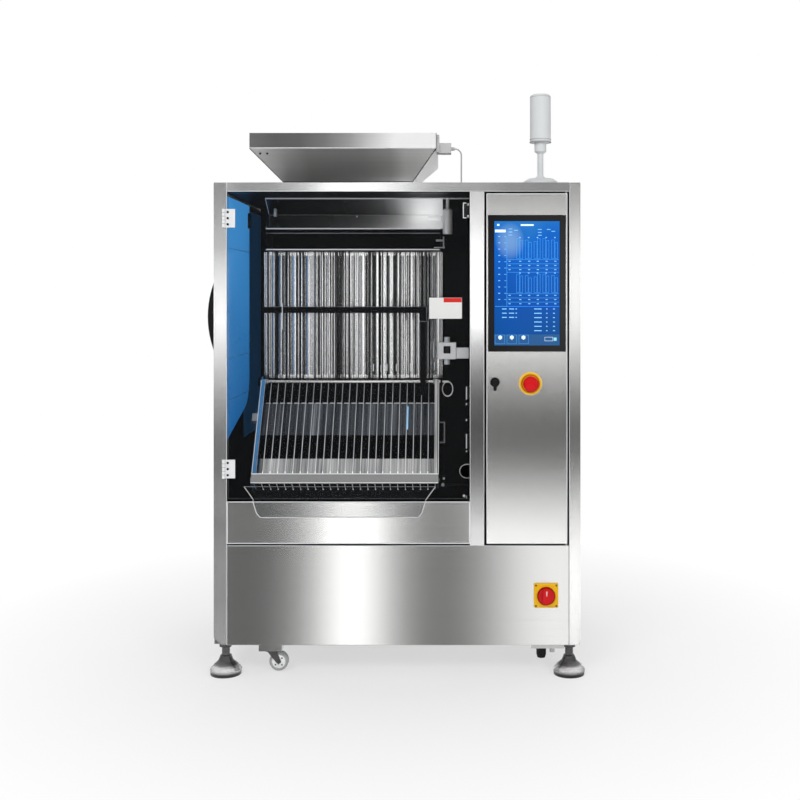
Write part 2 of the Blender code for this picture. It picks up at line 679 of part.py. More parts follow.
def side_hinge(name, low, axis):
    """A hinge of the side door, fixed to the cabinet's body: a barrel with its leaf."""
    high = low + SIDE_BARREL_LENGTH
    x, y, _ = axis.location
    leaf = block_mesh((x, y - SIDE_WEB_HALF, low), (BODY_LEFT - SEAT, y + SIDE_WEB_HALF, high))
    item = place(leaf, name, (STEEL, 0.3, 1.0))
    combine(item, [moved(rod_mesh(SIDE_BARREL_RADIUS, low, high), (x, y, 0))])


def control_door():
    """Control door on pins, with the screen, the emergency stop and the key lock."""
    left, right = POST_RIGHT + LATCH_REVEAL, STRIP_LEFT - REVEAL
    low, top = LOWER_TOP + REVEAL, DOOR_TOP
    axis = pivot("control_door_pivot", (right - CONTROL_PIN_INSET, behind(CONTROL_PIN_INSET), 0))
    data = block_mesh((left, behind(0.0), low), (right, behind(CONTROL_DOOR_THICKNESS), top))
    item = place(data, "control_door", (STEEL, 0.32, 1.0))
    pins = [rod_mesh(CONTROL_PIN_RADIUS, top - BITE, CEILING - SEAT, steps=12),
            rod_mesh(CONTROL_PIN_RADIUS, LOWER_TOP + SEAT, low + BITE, steps=12)]
    combine(item, [moved(pin, (axis.location.x, axis.location.y, 0)) for pin in pins])
    middle = (left + right) / 2
    half = SCREEN_WIDTH / 2 - SCREEN_LIP + SEAT
    cut = block_mesh((middle - half, behind(-THROUGH), SCREEN_FOOT + SCREEN_LIP - SEAT),
                     (middle + half, behind(CONTROL_DOOR_THICKNESS + THROUGH),
                      SCREEN_FOOT + SCREEN_HEIGHT - SCREEN_LIP + SEAT))
    hang(combine(item, [cut], "DIFFERENCE"), axis)
    screen(middle, axis)
    stop_button(right - STOP_INSET, axis)
    key_lock(left + LOCK_INSET, axis)


def screen(middle, axis):
    """Touch screen: a bezel over the door's cut-out, its body behind, and the glass."""
    half = SCREEN_WIDTH / 2
    top = SCREEN_FOOT + SCREEN_HEIGHT
    face = behind(-SCREEN_PROUD - SEAT)
    data = block_mesh((middle - half, face, SCREEN_FOOT), (middle + half, behind(-SEAT), top))
    item = place(data, "screen_unit", (BLACK, 0.3, 0.0))
    body = block_mesh((middle - half + SCREEN_LIP, behind(-SEAT) - BITE / 2, SCREEN_FOOT + SCREEN_LIP),
                      (middle + half - SCREEN_LIP, behind(SCREEN_BODY_DEPTH), top - SCREEN_LIP))
    combine(item, [body])
    glass = half - DISPLAY_BORDER
    foot, head = SCREEN_FOOT + DISPLAY_BORDER, top - DISPLAY_BORDER
    pocket = block_mesh((middle - glass - SEAT, face - THROUGH, foot - SEAT),
                        (middle + glass + SEAT, face + DISPLAY_THICKNESS + SEAT, head + SEAT))
    hang(combine(item, [pocket], "DIFFERENCE"), axis)
    block("display", (middle - glass, face, foot), (middle + glass, face + DISPLAY_THICKNESS, head),
          (BLUE, 0.1, 0.0), parent=axis)


def stop_button(x, axis):
    """Emergency stop: a yellow collar and a red head that pushes in."""
    bore, radius, thick = STOP_STEM_RADIUS + RUNNING, STOP_COLLAR_RADIUS, STOP_COLLAR_THICKNESS
    collar = turned_mesh([(bore, 0), (radius, 0), (radius, thick * 0.7), (radius - 0.002, thick),
                          (bore, thick)], "Y", 32, "stop_collar")
    at = Vector((x, behind(-SEAT), SCREEN_FOOT - STOP_DROP))
    smooth(place(collar, "stop_collar", (YELLOW, 0.4, 0.0), at, axis))
    foot = STOP_TRAVEL + STOP_SPARE
    head = thick + foot
    top = head + STOP_HEAD_LENGTH
    radius = STOP_HEAD_RADIUS
    profile = [(0, foot), (STOP_STEM_RADIUS, foot), (STOP_STEM_RADIUS, head), (radius * 0.9, head),
               (radius, head + STOP_HEAD_LENGTH * 0.17), (radius, head + STOP_HEAD_LENGTH * 0.6),
               (radius * 0.81, top - STOP_HEAD_LENGTH * 0.11), (0, top)]
    button = turned_mesh(profile, "Y", 32, "stop_button")
    smooth(place(button, "stop_button", (RED, 0.3, 0.0), at, axis))


def key_lock(x, axis):
    """Key lock: a round plug with the tab of its key."""
    item = place(rod_mesh(LOCK_RADIUS, 0.0, LOCK_THICKNESS, "Y", 24), "key_lock", (BLACK, 0.4, 0.0))
    tab = block_mesh((-KEY_WIDTH / 2, -KEY_REACH, -KEY_LENGTH),
                     (KEY_WIDTH / 2, BITE - LOCK_THICKNESS, LOCK_THICKNESS))
    combine(item, [tab])
    item.parent = axis
    item.location = Vector((x, behind(-SEAT), SCREEN_FOOT - LOCK_DROP)) - axis.location


def main_switch():
    """Main switch on the lower panel: a square plate and a turning knob with a grip."""
    x, z = RIGHT - SWITCH_INSET, LOWER_TOP - SWITCH_DROP
    half, thick = SWITCH_PLATE / 2, SWITCH_PLATE_THICKNESS
    block("switch_plate", (x - half, behind(-SEAT - thick), z - half), (x + half, behind(-SEAT), z + half),
          (YELLOW, 0.45, 0.0), SWITCH_BEVEL)
    radius, disc = SWITCH_DISC_RADIUS, SWITCH_DISC_THICKNESS
    data = turned_mesh([(0, 0), (radius, 0), (radius * 0.92, disc), (0, disc)], "Y", 28, "switch_knob")
    item = place(data, "switch_knob", (RED, 0.35, 0.0))
    wide, up, down = SWITCH_GRIP_HALF, SWITCH_GRIP_UP, SWITCH_GRIP_DOWN
    shield = [(-wide * 0.8, up), (wide * 0.8, up), (wide, -down * 0.3), (0.0, -down), (-wide, -down * 0.3)]
    combine(item, [prism_mesh(shield, "Y", -SWITCH_GRIP_REACH, BITE - disc)])
    item.location = (x, behind(-2 * SEAT - thick), z)


def funnel_rows(grow):
    """Half sizes and heights of the hopper's outer skin from the foot up, less a wall."""
    taper_foot = CABINET_TOP + HOPPER_NECK
    rim_foot = taper_foot + HOPPER_TAPER
    lift = grow * 0.4
    narrow = (THROAT_HALF - grow, THROAT_LENGTH / 2 - grow)
    wide = (HOPPER_HALF - grow, HOPPER_LENGTH / 2 - grow)
    return [(*narrow, CEILING), (*narrow, taper_foot + lift), (*wide, rim_foot + lift), (*wide, RIM_TOP)]


def hopper():
    """Open feed hopper: four tapering walls under a straight rim, on a throat through the top."""
    shape = bmesh.new()
    centre = Vector((HOPPER_ACROSS, behind(HOPPER_MIDDLE), 0))
    skins = []
    for grow in (0.0, HOPPER_WALL):
        rings = []
        for half_x, half_y, height in funnel_rows(grow):
            corners = ((-half_x, -half_y), (half_x, -half_y), (half_x, half_y), (-half_x, half_y))
            rings.append([shape.verts.new(centre + Vector((a, b, height))) for a, b in corners])
        for low, high in zip(rings, rings[1:]):
            band(shape, low, high)
        skins.append(rings)
    for end in (0, -1):
        band(shape, skins[0][end], skins[1][end])
    place(to_mesh(shape, "hopper"), "hopper", (STEEL, 0.3, 1.0))


def band(shape, first, second):
    """Joins two rings of four points with four faces."""
    for i in range(4):
        j = (i + 1) % 4
        shape.faces.new((first[i], first[j], second[j], second[i]))


def level_sensor():
    """Sensor on the hopper's right rim, and its short lead down to the top."""
    side = HOPPER_ACROSS + HOPPER_HALF + SEAT
    thick, wide, tall = SENSOR_PLATE
    y, z = behind(HOPPER_FRONT + SENSOR_INSET), RIM_TOP - SENSOR_DROP
    middle = z + SENSOR_PLATE_LIFT
    data = block_mesh((side, y - wide / 2, middle - tall / 2), (side + thick, y + wide / 2, middle + tall / 2))
    item = place(data, "hopper_sensor", (GREY, 0.4, 0.0))
    end = side + thick + SENSOR_LENGTH
    body = block_mesh((side + thick - BITE, y - SENSOR_WIDTH / 2, z - SENSOR_HEIGHT / 2),
                      (end, y + SENSOR_WIDTH / 2, z + SENSOR_HEIGHT / 2))
    gland = moved(rod_mesh(GLAND_RADIUS, -BITE, GLAND_LENGTH, "X", 12), (end, y, z))
    combine(item, [body, gland])
    sensor_lead((end + GLAND_LENGTH + SEAT, y, 0), z)


def sensor_lead(at, height):
    """The sensor's lead: out of its gland, round a quarter turn and down to the top plate."""
    foot = CABINET_TOP + SEAT
    turn = [math.pi / 2 * i / CABLE_STEPS for i in range(CABLE_STEPS + 1)]
    route = [(CABLE_LOOP * math.sin(t), height + CABLE_LOOP * (math.cos(t) - 1)) for t in turn]
    route += [(CABLE_LOOP, (foot + height) / 2), (CABLE_LOOP, foot)]
    curve = bpy.data.curves.new("sensor_lead", "CURVE")
    curve.dimensions = "3D"
    curve.bevel_depth = CABLE_RADIUS
    curve.bevel_resolution = 2
    curve.use_fill_caps = True
    line = curve.splines.new("POLY")
    line.points.add(len(route) - 1)
    for point, (x, z) in zip(line.points, route):
        point.co = (x, 0.0, z, 1.0)
    curve.materials.append(material("sensor_lead", GREY, 0.5, 0.0))
    lead = bpy.data.objects.new("sensor_lead", curve)
    bpy.context.scene.collection.objects.link(lead)
    lead.location = at


def signal_lamp():
    """Signal lamp: a base disc, a pole and a socket, and the lamp on it."""
    at = (RIGHT - LAMP_INSET, behind(LAMP_DEPTH), 0)
    foot = CABINET_TOP + SEAT
    base, pole, socket = LAMP_BASE_RADIUS, LAMP_POLE_RADIUS, LAMP_SOCKET_RADIUS
    base_top = foot + LAMP_BASE_HEIGHT
    pole_top = CABINET_TOP + LAMP_POLE_HEIGHT
    top = pole_top + LAMP_SOCKET_HEIGHT
    profile = [(0, foot), (base, foot), (base, foot + LAMP_BASE_HEIGHT / 2),
               (base - LAMP_BASE_RIM, base_top - LAMP_FILLET / 2), (pole + LAMP_FILLET, base_top),
               (pole, base_top + LAMP_FILLET), (pole, pole_top - LAMP_FILLET), (socket, pole_top),
               (socket, top), (0, top)]
    smooth(place(turned_mesh(profile, steps=28), "lamp_stand", (PALE, 0.4, 0.0), at))
    low, radius, high = top + SEAT, LAMP_RADIUS, top + LAMP_HEIGHT
    edge = arc(radius - LAMP_ROUND, high - LAMP_ROUND, LAMP_ROUND, 0, 90, 4)
    profile = [(0, low), (radius - 0.002, low), (radius, low + 0.004), *edge, (0, high)]
    smooth(place(turned_mesh(profile, steps=28), "lamp", (PALE, 0.3, 0.0), at))


def feet():
    """Four levelling feet: rubber foot, steel bell and threaded stem."""
    pad, bell, stem = FOOT_PAD_RADIUS, FOOT_BELL_RADIUS, FOOT_STEM_RADIUS
    top = CABINET_BOTTOM - SEAT
    rim = FOOT_PAD_HEIGHT + FOOT_BELL_EDGE
    profile = [(0, 0), (pad, 0), (pad, FOOT_PAD_HEIGHT), (bell, FOOT_PAD_HEIGHT), (bell, rim),
               (bell * 0.88, rim + 0.008), (stem + FOOT_NECK * 2.5, FOOT_BELL_TOP - 0.014),
               (stem + FOOT_NECK, FOOT_BELL_TOP), (stem, FOOT_BELL_TOP), (stem, top), (0, top)]
    xs = {"left": LEFT + FOOT_INSET, "right": RIGHT - FOOT_INSET}
    ys = {"front": behind(FOOT_INSET), "rear": behind(CABINET_DEPTH - FOOT_INSET)}
    for end, y in ys.items():
        for side, x in xs.items():
            name = f"foot_{end}_{side}"
            smooth(place(turned_mesh(profile, steps=24, name=name), name, (STEEL, 0.3, 1.0), (x, y, 0)))


def caster_places():
    """Swivel axes of the casters, as x and depth behind the front."""
    left, right = LEFT + CASTER_SIDE_INSET, RIGHT - CASTER_SIDE_INSET
    rear = CABINET_DEPTH - CASTER_REAR_INSET
    return [(left, CASTER_FRONT_DEPTH), (left, rear), (right, rear)]


def casters():
    """Swivel casters: a fork with its axle, trailing to the right, and a wheel."""
    half = WHEEL_WIDTH / 2
    bore = AXLE_RADIUS + RUNNING
    radius, edge = WHEEL_RADIUS, WHEEL_ROUND
    tread = [(bore, -half), (radius - edge, -half), (radius, edge - half), (radius, half - edge),
             (radius - edge, half), (bore, half)]
    for name, (x, depth) in zip(("front_left", "rear_left", "rear_right"), caster_places()):
        y = behind(depth)
        swivel = pivot(f"{name}_swivel", (x, y, 0))
        caster_fork(name, x, y, swivel)
        smooth(place(turned_mesh(tread, "Y", 28), f"caster_wheel_{name}", (PALE, 0.5, 0.0),
                     (x + CASTER_TRAIL, y, WHEEL_HUB), swivel))


def caster_fork(name, x, y, swivel):
    """A caster's fork: a round crown, two cheeks that lean to the axle, and the axle."""
    inside = WHEEL_WIDTH / 2 + FORK_GAP
    outside = inside + FORK_CHEEK
    hub_x = x + CASTER_TRAIL
    crown = rod_mesh(CASTER_CROWN_RADIUS, FORK_CROWN, CASTER_PAD_FOOT - SEAT, steps=20)
    fork = place(moved(crown, (x, y, 0)), f"caster_fork_{name}", (STEEL, 0.35, 1.0))
    high = FORK_CROWN + BITE
    outline = [(x - 0.012, high), (x + 0.014, high), (hub_x + 0.007, WHEEL_HUB),
               (hub_x, WHEEL_HUB - 0.007), (hub_x - 0.008, WHEEL_HUB)]
    cheeks = [prism_mesh(outline, "Y", y + side * inside, y + side * outside) for side in (-1, 1)]
    axle = moved(rod_mesh(AXLE_RADIUS, -outside - BITE, outside + BITE, "Y", 12), (hub_x, y, WHEEL_HUB))
    hang(combine(fork, cheeks + [axle]), swivel)


def underside():
    """What hangs under the lower housing: a shallow pan and the inlets at the right."""
    top = CABINET_BOTTOM - SEAT
    x = LEFT + PAN_INSET
    block("bottom_pan", (x, behind(PAN_FRONT), CABINET_BOTTOM - PAN_DROP),
          (x + PAN_WIDTH, behind(PAN_FRONT + PAN_LENGTH), top), (STEEL, 0.4, 1.0))
    x = RIGHT - INLET_INSET - INLET_WIDTH
    foot = top - INLET_PLATE
    plate = block("inlet_plate", (x, behind(INLET_FRONT), foot),
                  (x + INLET_WIDTH, behind(INLET_FRONT + INLET_LENGTH), top), (STEEL, 0.4, 1.0))
    y = behind(INLET_FRONT + INLET_LENGTH / 2)
    gland = rod_mesh(INLET_GLAND_RADIUS, foot - INLET_GLAND_LENGTH, foot + BITE, steps=8)
    combine(centred(plate), [moved(gland, (x + GLAND_AT, y, 0))])
    radius, length = AIR_INLET_RADIUS, AIR_INLET_LENGTH
    inlet = turned_mesh([(0, -length), (radius * 0.8, -length), (radius, -length * 0.7), (radius, 0),
                         (0, 0)], steps=20)
    smooth(place(inlet, "air_inlet", (BLACK, 0.5, 0.0), (x + AIR_INLET_AT, y, foot - SEAT)))


def tube_bank():
    """Feed tubes between two headers and two side rails, in front of the bulkhead."""
    front, back = behind(TUBE_DEPTH - HEADER_HALF), behind(TUBE_DEPTH + HEADER_HALF)
    data = block_mesh((LANE_MIDDLE - BANK_HALF, front, TUBE_FOOT), (LANE_MIDDLE + BANK_HALF, back, TUBE_TOP))
    item = place(data, "tube_bank", (STEEL, 0.2, 1.0))
    window = block_mesh((LANE_MIDDLE - LANE_HALF, front - THROUGH, TUBE_FOOT + HEADER_HEIGHT),
                        (LANE_MIDDLE + LANE_HALF, back + THROUGH, TUBE_TOP - HEADER_HEIGHT))
    combine(item, [window], "DIFFERENCE")
    shape = bmesh.new()
    for i in range(LANES):
        made = bmesh.ops.create_cone(shape, cap_ends=True, segments=TUBE_SIDES, radius1=TUBE_RADIUS,
                                     radius2=TUBE_RADIUS,
                                     depth=TUBE_TOP - TUBE_FOOT - HEADER_HEIGHT)["verts"]
        x = LANE_MIDDLE - LANE_HALF + (i + 0.5) * LANE_PITCH
        bmesh.ops.translate(shape, verts=made, vec=(x, behind(TUBE_DEPTH), (TUBE_TOP + TUBE_FOOT) / 2))
    combine(item, [to_mesh(shape, "tubes")])


def bulkhead():
    """Black plate that carries the tubes, with two lugs that hold the chute's rod."""
    face = TUBE_DEPTH + HEADER_HALF + SEAT
    data = block_mesh((LANE_MIDDLE - BANK_HALF, behind(face), LOWER_TOP + SEAT),
                      (WALL_LEFT - SEAT, behind(face + BULKHEAD_THICKNESS), TUBE_TOP))
    item = place(data, "bulkhead", (BLACK, 0.5, 0.0))
    reach = ROD_HALF + SEAT
    root, step = behind(face + BITE), behind(TUBE_FACE) - BITE
    low, high, under = ROD_HEIGHT - LUG_HALF, ROD_HEIGHT + LUG_HALF, TUBE_FOOT - SEAT
    tip = behind(ROD_DEPTH) - LUG_HALF
    outline = [(tip, low), (root, low), (root, under), (step, under), (step - LUG_HALF, high),
               (tip + LUG_HALF, high), (tip, ROD_HEIGHT)]
    starts = (LANE_MIDDLE - reach - LUG_THICKNESS, LANE_MIDDLE + reach)
    combine(item, [prism_mesh(outline, "X", start, start + LUG_THICKNESS) for start in starts])


def chute_rod():
    """The rod that the chute swings on, and the catch ring on a stud beside the right lug."""
    at = (LANE_MIDDLE, behind(ROD_DEPTH), ROD_HEIGHT)
    rod = rod_mesh(ROD_RADIUS, -ROD_HALF, ROD_HALF, "X", 16)
    smooth(place(rod, "chute_rod", (STEEL, 0.2, 1.0), at))
    start = ROD_HALF + 2 * SEAT + LUG_THICKNESS
    wire = arc(RING_RADIUS, 0.0, RING_WIRE, 0, 300, 5)
    ring = turned_mesh(wire, "Y", 20)
    ring.transform(Matrix.Diagonal((1.0, 1.0, RING_STRETCH, 1.0)))
    middle = start + RING_RADIUS
    item = place(moved(ring, (middle, 0, -RING_RADIUS * RING_STRETCH)), "latch_ring", (STEEL, 0.2, 1.0))
    combine(item, [rod_mesh(RING_STUD_RADIUS, start, middle + RING_STUD_RADIUS, "X", 12)])
    item.location = at


def chute():
    """Swinging discharge chute: side plates with a bottom bar, lane plates and their floor.

    It is modelled hanging straight down from its rod, which is its origin, and then tilted."""
    axis = pivot("chute_pivot", (LANE_MIDDLE, behind(ROD_DEPTH), ROD_HEIGHT))
    front = -FIN_FRONT - SEAT
    floor = FIN_BACK + SEAT
    back = floor + FLOOR_SHEET
    inner = CHUTE_HALF - CHUTE_SIDE
    face, cut, foot, top = front - FLANGE_THICKNESS, CHUTE_CORNER, -CHUTE_END, CHUTE_TOP
    outline = [(face, top - cut), (face + cut / 2, top), (cut, top), (back, -top), (back, foot + cut),
               (back - cut, foot), (face, foot)]
    item = place(prism_mesh(outline, "X", -CHUTE_HALF, -inner), "chute_frame", (STEEL, 0.25, 1.0))
    forms = [prism_mesh(outline, "X", inner, CHUTE_HALF)]
    for start in (-CHUTE_HALF, CHUTE_HALF - FLANGE_WIDTH):
        forms.append(block_mesh((start, face, foot + BITE), (start + FLANGE_WIDTH, front, top - cut - BITE)))
    forms.append(block_mesh((-CHUTE_HALF, front - BAR_THICKNESS, foot),
                            (CHUTE_HALF, front, foot + BAR_HEIGHT)))
    band_foot = -SLOPE_LENGTH + BAND_RISE
    forms.append(block_mesh((-inner - BITE / 2, floor, band_foot),
                            (inner + BITE / 2, back - BITE / 2, band_foot + BAND_HEIGHT)))
    combine(item, forms + chute_side_bits())
    hole = ROD_RADIUS + RUNNING
    combine(item, [rod_mesh(hole, -CHUTE_HALF - THROUGH, CHUTE_HALF + THROUGH, "X", 16)], "DIFFERENCE")
    item.parent = axis
    place(comb_mesh(inner - SEAT), "lane_dividers", (CLEAR, 0.1, 0.0)).parent = axis
    data = block_mesh((SEAT - inner, floor, FLOOR_STOP - SLOPE_LENGTH), (inner - SEAT, back, -FLOOR_START))
    place(data, "lane_floor", (CLEAR, 0.25, 0.0)).parent = axis
    axis.rotation_euler = (-SLOPE_ANGLE, 0, 0)


def chute_side_bits():
    """Bosses at the bar's ends, a block on the left side plate and a flat bracket on the right."""
    side = CHUTE_HALF
    at = (0, 0, BAR_HEIGHT / 2 - CHUTE_END)
    bosses = [moved(rod_mesh(BOSS_RADIUS, *ends, "X", 16), at)
              for ends in ((-side - BOSS_REACH, -side + BITE), (side - BITE, side + BOSS_REACH))]
    reach, deep, tall = BLOCK_PAD
    pad = block_mesh((-side - reach, -deep / 2, -BLOCK_PAD_DROP - tall),
                     (-side + BITE, deep / 2, -BLOCK_PAD_DROP))
    half, low, frame = PLATE_THICKNESS / 2, -PLATE_DROP - PLATE_HEIGHT, PLATE_FRAME
    outline = [(side - BITE, low), (side + PLATE_REACH, low), (side + PLATE_REACH, -PLATE_DROP),
               (side - BITE, -PLATE_DROP), (side - BITE, -PLATE_DROP - frame),
               (side + PLATE_REACH - frame, -PLATE_DROP - frame),
               (side + PLATE_REACH - frame, low + frame), (side - BITE, low + frame)]
    return bosses + [pad, prism_mesh(outline, "Y", -half, half)]


def comb_mesh(reach):
    """Lane plates at each lane's edge, held together by two cross rods."""
    low, high = -CHUTE_END, -ROD_RADIUS - FIN_CLEAR
    shape = bmesh.new()
    for i in range(LANES + 1):
        x = i * LANE_PITCH - LANE_HALF
        made = bmesh.ops.create_cube(shape, size=1.0)["verts"]
        bmesh.ops.scale(shape, vec=(FIN_THICKNESS, FIN_FRONT + FIN_BACK, high - low), verts=made)
        bmesh.ops.translate(shape, vec=(x, (FIN_BACK - FIN_FRONT) / 2, (low + high) / 2), verts=made)
    item = bpy.data.objects.new("comb", to_mesh(shape, "comb"))
    bpy.context.scene.collection.objects.link(item)
    item.data.materials.append(None)
    y = FIN_BACK - CROSS_ROD_INSET
    rods = [moved(rod_mesh(CROSS_ROD_RADIUS, -reach, reach, "X", 6), (0, y, z))
            for z in (low + CROSS_ROD_INSET, high - CROSS_ROD_INSET)]
    data = combine(item, rods).data
    data.materials.clear()
    bpy.data.objects.remove(item, do_unlink=True)
    return data


def crossbar():
    """Black bar across the tubes, its arm, and the upright that hangs from the arm."""
    face = behind(TUBE_FACE - SEAT)
    right = LANE_MIDDLE + LANE_HALF - CROSSBAR_INSET
    middle = (TUBE_TOP + TUBE_FOOT) / 2 + CROSSBAR_ABOVE
    low, top = middle - CROSSBAR_HEIGHT / 2, middle + CROSSBAR_HEIGHT / 2
    data = block_mesh((LANE_MIDDLE - BANK_HALF, face - CROSSBAR_THICKNESS, low), (right + BITE, face, top))
    item = place(data, "crossbar", (BLACK, 0.4, 0.0))
    tip = behind(TUBE_DEPTH - ARM_REACH)
    arm = block_mesh((right, tip, top - ARM_HEIGHT), (right + ARM_WIDTH, face - BITE, top + BITE / 2))
    upright = block_mesh((right + BITE, tip + BITE / 2, TUBE_FOOT - UPRIGHT_DROP),
                         (right + ARM_WIDTH - BITE, tip + UPRIGHT_DEPTH, top - ARM_HEIGHT + BITE))
    combine(item, [arm, upright])


def feeder():
    """Feeder over the tubes: folded front panel with its flange, tray and rounded drive."""
    sheet, top = FEEDER_SHEET, CEILING - SEAT
    lip, crease = behind(TUBE_DEPTH - FEEDER_SETBACK), behind(TUBE_DEPTH - FEEDER_SETBACK + FEEDER_FOLD)
    middle, foot = CEILING - FEEDER_CREASE_DROP, CEILING - FEEDER_DROP
    outline = [(lip - FEEDER_FLANGE, top - sheet), (lip, top - sheet), (crease - sheet, middle),
               (lip - sheet * 0.6, foot), (lip + sheet * 0.6, foot), (crease + sheet * 0.4, middle),
               (lip + sheet, top), (lip - FEEDER_FLANGE, top)]
    left, right = LANE_MIDDLE - LANE_HALF + FEEDER_LEFT_INSET, LANE_MIDDLE + LANE_HALF + FEEDER_OVERHANG
    item = place(prism_mesh(outline, "X", left, right), "feeder_panel", (STEEL, 0.25, 1.0))
    flange = block_mesh((right - BITE, lip - FEEDER_FLANGE, top - sheet), (WALL_LEFT - SEAT, lip + BITE, top))
    combine(item, [flange])
    low = TUBE_TOP + SEAT
    rear = behind(TUBE_DEPTH + HEADER_HALF + SEAT + BULKHEAD_THICKNESS)
    high, end, wall = low + TRAY_HEIGHT, right - TRAY_INSET, TRAY_WALL
    tray = place(block_mesh((left, lip, low), (end, rear, high)), "feeder_tray", (BLACK, 0.4, 0.0))
    pocket = block_mesh((left + wall, lip - THROUGH, low + wall), (end - wall, rear - wall, high + THROUGH))
    combine(tray, [pocket], "DIFFERENCE")
    high, ceiling = CEILING - DRIVE_DROP, top - sheet - SEAT
    radius, neck = DRIVE_RADIUS, DRIVE_NECK_RADIUS
    drive = [(0, high - DRIVE_HEIGHT), (radius, high - DRIVE_HEIGHT), (radius, high - DRIVE_ROUND),
             (radius - DRIVE_ROUND, high), (neck, high), (neck, ceiling), (0, ceiling)]
    smooth(place(turned_mesh(drive, steps=20), "feeder_drive", (GREY, 0.35, 1.0),
                 (right + SEAT + radius, lip - FEEDER_FLANGE / 3, 0)))


def sensor_block():
    """Sensor block on a bracket from the partition, with a stub above and below."""
    right = WALL_LEFT - BLOCK_STANDOFF
    low, high = TUBE_FOOT + BLOCK_RISE, TUBE_FOOT + BLOCK_RISE + BLOCK_HEIGHT
    rear = behind(TUBE_FACE) - RUNNING
    front = rear - BLOCK_DEPTH
    data = block_mesh((right - BLOCK_WIDTH, front, low), (right, rear, high))
    item = place(data, "sensor_block", (GREY, 0.35, 0.6))
    stub = moved(rod_mesh(STUB_RADIUS, low - STUB_LENGTH, high + STUB_LENGTH, steps=12),
                 (right - BLOCK_WIDTH / 2, front + BLOCK_DEPTH * 0.4, 0))
    thick, tall = BLOCK_BRACKET
    bracket = block_mesh((right - BITE, front + BITE, low + BITE),
                         (WALL_LEFT - SEAT, front + BITE + thick, low + BITE + tall))
    combine(item, [stub, bracket])


def discharge_lip():
    """Clear lip from the chute's foot over the sill, narrowing on its way down."""
    sheet, edge = LIP_SHEET, -SEAT
    over = SILL_TOP + SEAT
    high, low = SILL_TOP + LIP_RISE, SILL_TOP - LIP_DROP
    wide, narrow = LANE_HALF + LIP_OVERHANG, LANE_HALF - LIP_SILL_INSET
    base = LANE_HALF - LIP_FOOT_INSET
    rows = [(wide, (LIP_TOP_DEPTH, high), (LIP_TOP_DEPTH + sheet, high)),
            (narrow, (LIP_BEND_DEPTH, over + sheet), (LIP_BEND_DEPTH + sheet, over)),
            (narrow, (edge - sheet, over + sheet), (edge, over)),
            (base, (edge - sheet, low + LIP_CORNER), (edge, low + LIP_CORNER)),
            (base - LIP_FOOT_CUT, (edge - sheet, low), (edge, low))]
    shape = bmesh.new()
    rings = []
    for half, (depth, height), (rear, rear_height) in rows:
        corners = [(-half, depth, height), (half, depth, height), (half, rear, rear_height),
                   (-half, rear, rear_height)]
        rings.append([shape.verts.new((LANE_MIDDLE - LIP_SHIFT + a, behind(b), c)) for a, b, c in corners])
    for upper, lower in zip(rings, rings[1:]):
        band(shape, upper, lower)
    shape.faces.new(rings[0])
    shape.faces.new(rings[-1][::-1])
    place(to_mesh(shape, "discharge_lip"), "discharge_lip", (CLEAR, 0.1, 0.0))


def main():
    clear_scene()
    front_frame()
    left_post()
    front_fascia()
    housing()
    front_door()
    side_door()
    control_door()
    main_switch()
    hopper()
    level_sensor()
    signal_lamp()
    feet()
    casters()
    underside()
    tube_bank()
    bulkhead()
    chute_rod()
    chute()
    crossbar()
    feeder()
    sensor_block()
    discharge_lip()


main()
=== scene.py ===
# %% [markdown]
# # A capsule checkweigher
# The machine is a stainless cabinet about 1.6 m tall. Capsules run from the hopper on its top
# through a bank of tubes to a comb of clear plates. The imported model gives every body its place,
# so this lesson adds finishes and small hardware to it and never moves it.

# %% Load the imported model
import json
import math
from functools import partialmethod

import bmesh
import bpy
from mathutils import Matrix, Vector


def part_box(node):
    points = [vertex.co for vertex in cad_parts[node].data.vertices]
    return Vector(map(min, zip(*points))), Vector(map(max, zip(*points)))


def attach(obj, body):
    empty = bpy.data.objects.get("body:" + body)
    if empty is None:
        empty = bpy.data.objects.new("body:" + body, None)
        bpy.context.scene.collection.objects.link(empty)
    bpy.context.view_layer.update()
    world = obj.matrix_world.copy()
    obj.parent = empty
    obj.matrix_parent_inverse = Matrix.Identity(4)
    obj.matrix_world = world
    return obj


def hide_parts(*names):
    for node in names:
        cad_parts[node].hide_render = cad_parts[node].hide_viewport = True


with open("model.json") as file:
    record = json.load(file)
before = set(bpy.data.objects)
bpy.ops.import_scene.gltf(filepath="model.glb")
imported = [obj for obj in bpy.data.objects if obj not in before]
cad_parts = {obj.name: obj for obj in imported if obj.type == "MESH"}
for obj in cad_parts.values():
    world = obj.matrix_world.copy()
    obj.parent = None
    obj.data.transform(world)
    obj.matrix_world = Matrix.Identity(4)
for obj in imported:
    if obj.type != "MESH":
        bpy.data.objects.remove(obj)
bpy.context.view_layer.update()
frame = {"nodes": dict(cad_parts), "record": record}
nodes = frame["nodes"]
bpy.ops.object.select_all(action="DESELECT")

# %% [markdown]
# ## Camera
# The picture was taken straight from the front, from beside the control door and at about eye
# level. A shift lens keeps the uprights parallel, so the camera looks along +Y and is shifted
# until the machine sits in the picture as it does in the photograph.

# %% Camera
front_low, front_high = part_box("front_frame")
FRONT, RIGHT, TOP = front_low.y, front_high.x, front_high.z
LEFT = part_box("left_post")[0].x
MIDDLE = (LEFT + RIGHT) / 2
UNDERSIDE = 0.085                   # the foot of the cabinet's sheets
AWAY = 3.0                          # from the camera to the cabinet's front, in metres
PIXEL = 0.0027                      # one picture point on the cabinet's front, in metres
AHEAD = (450, 295)                  # the picture point straight before the camera
EYE = Vector((MIDDLE + 0.143, FRONT - AWAY, 1.030))

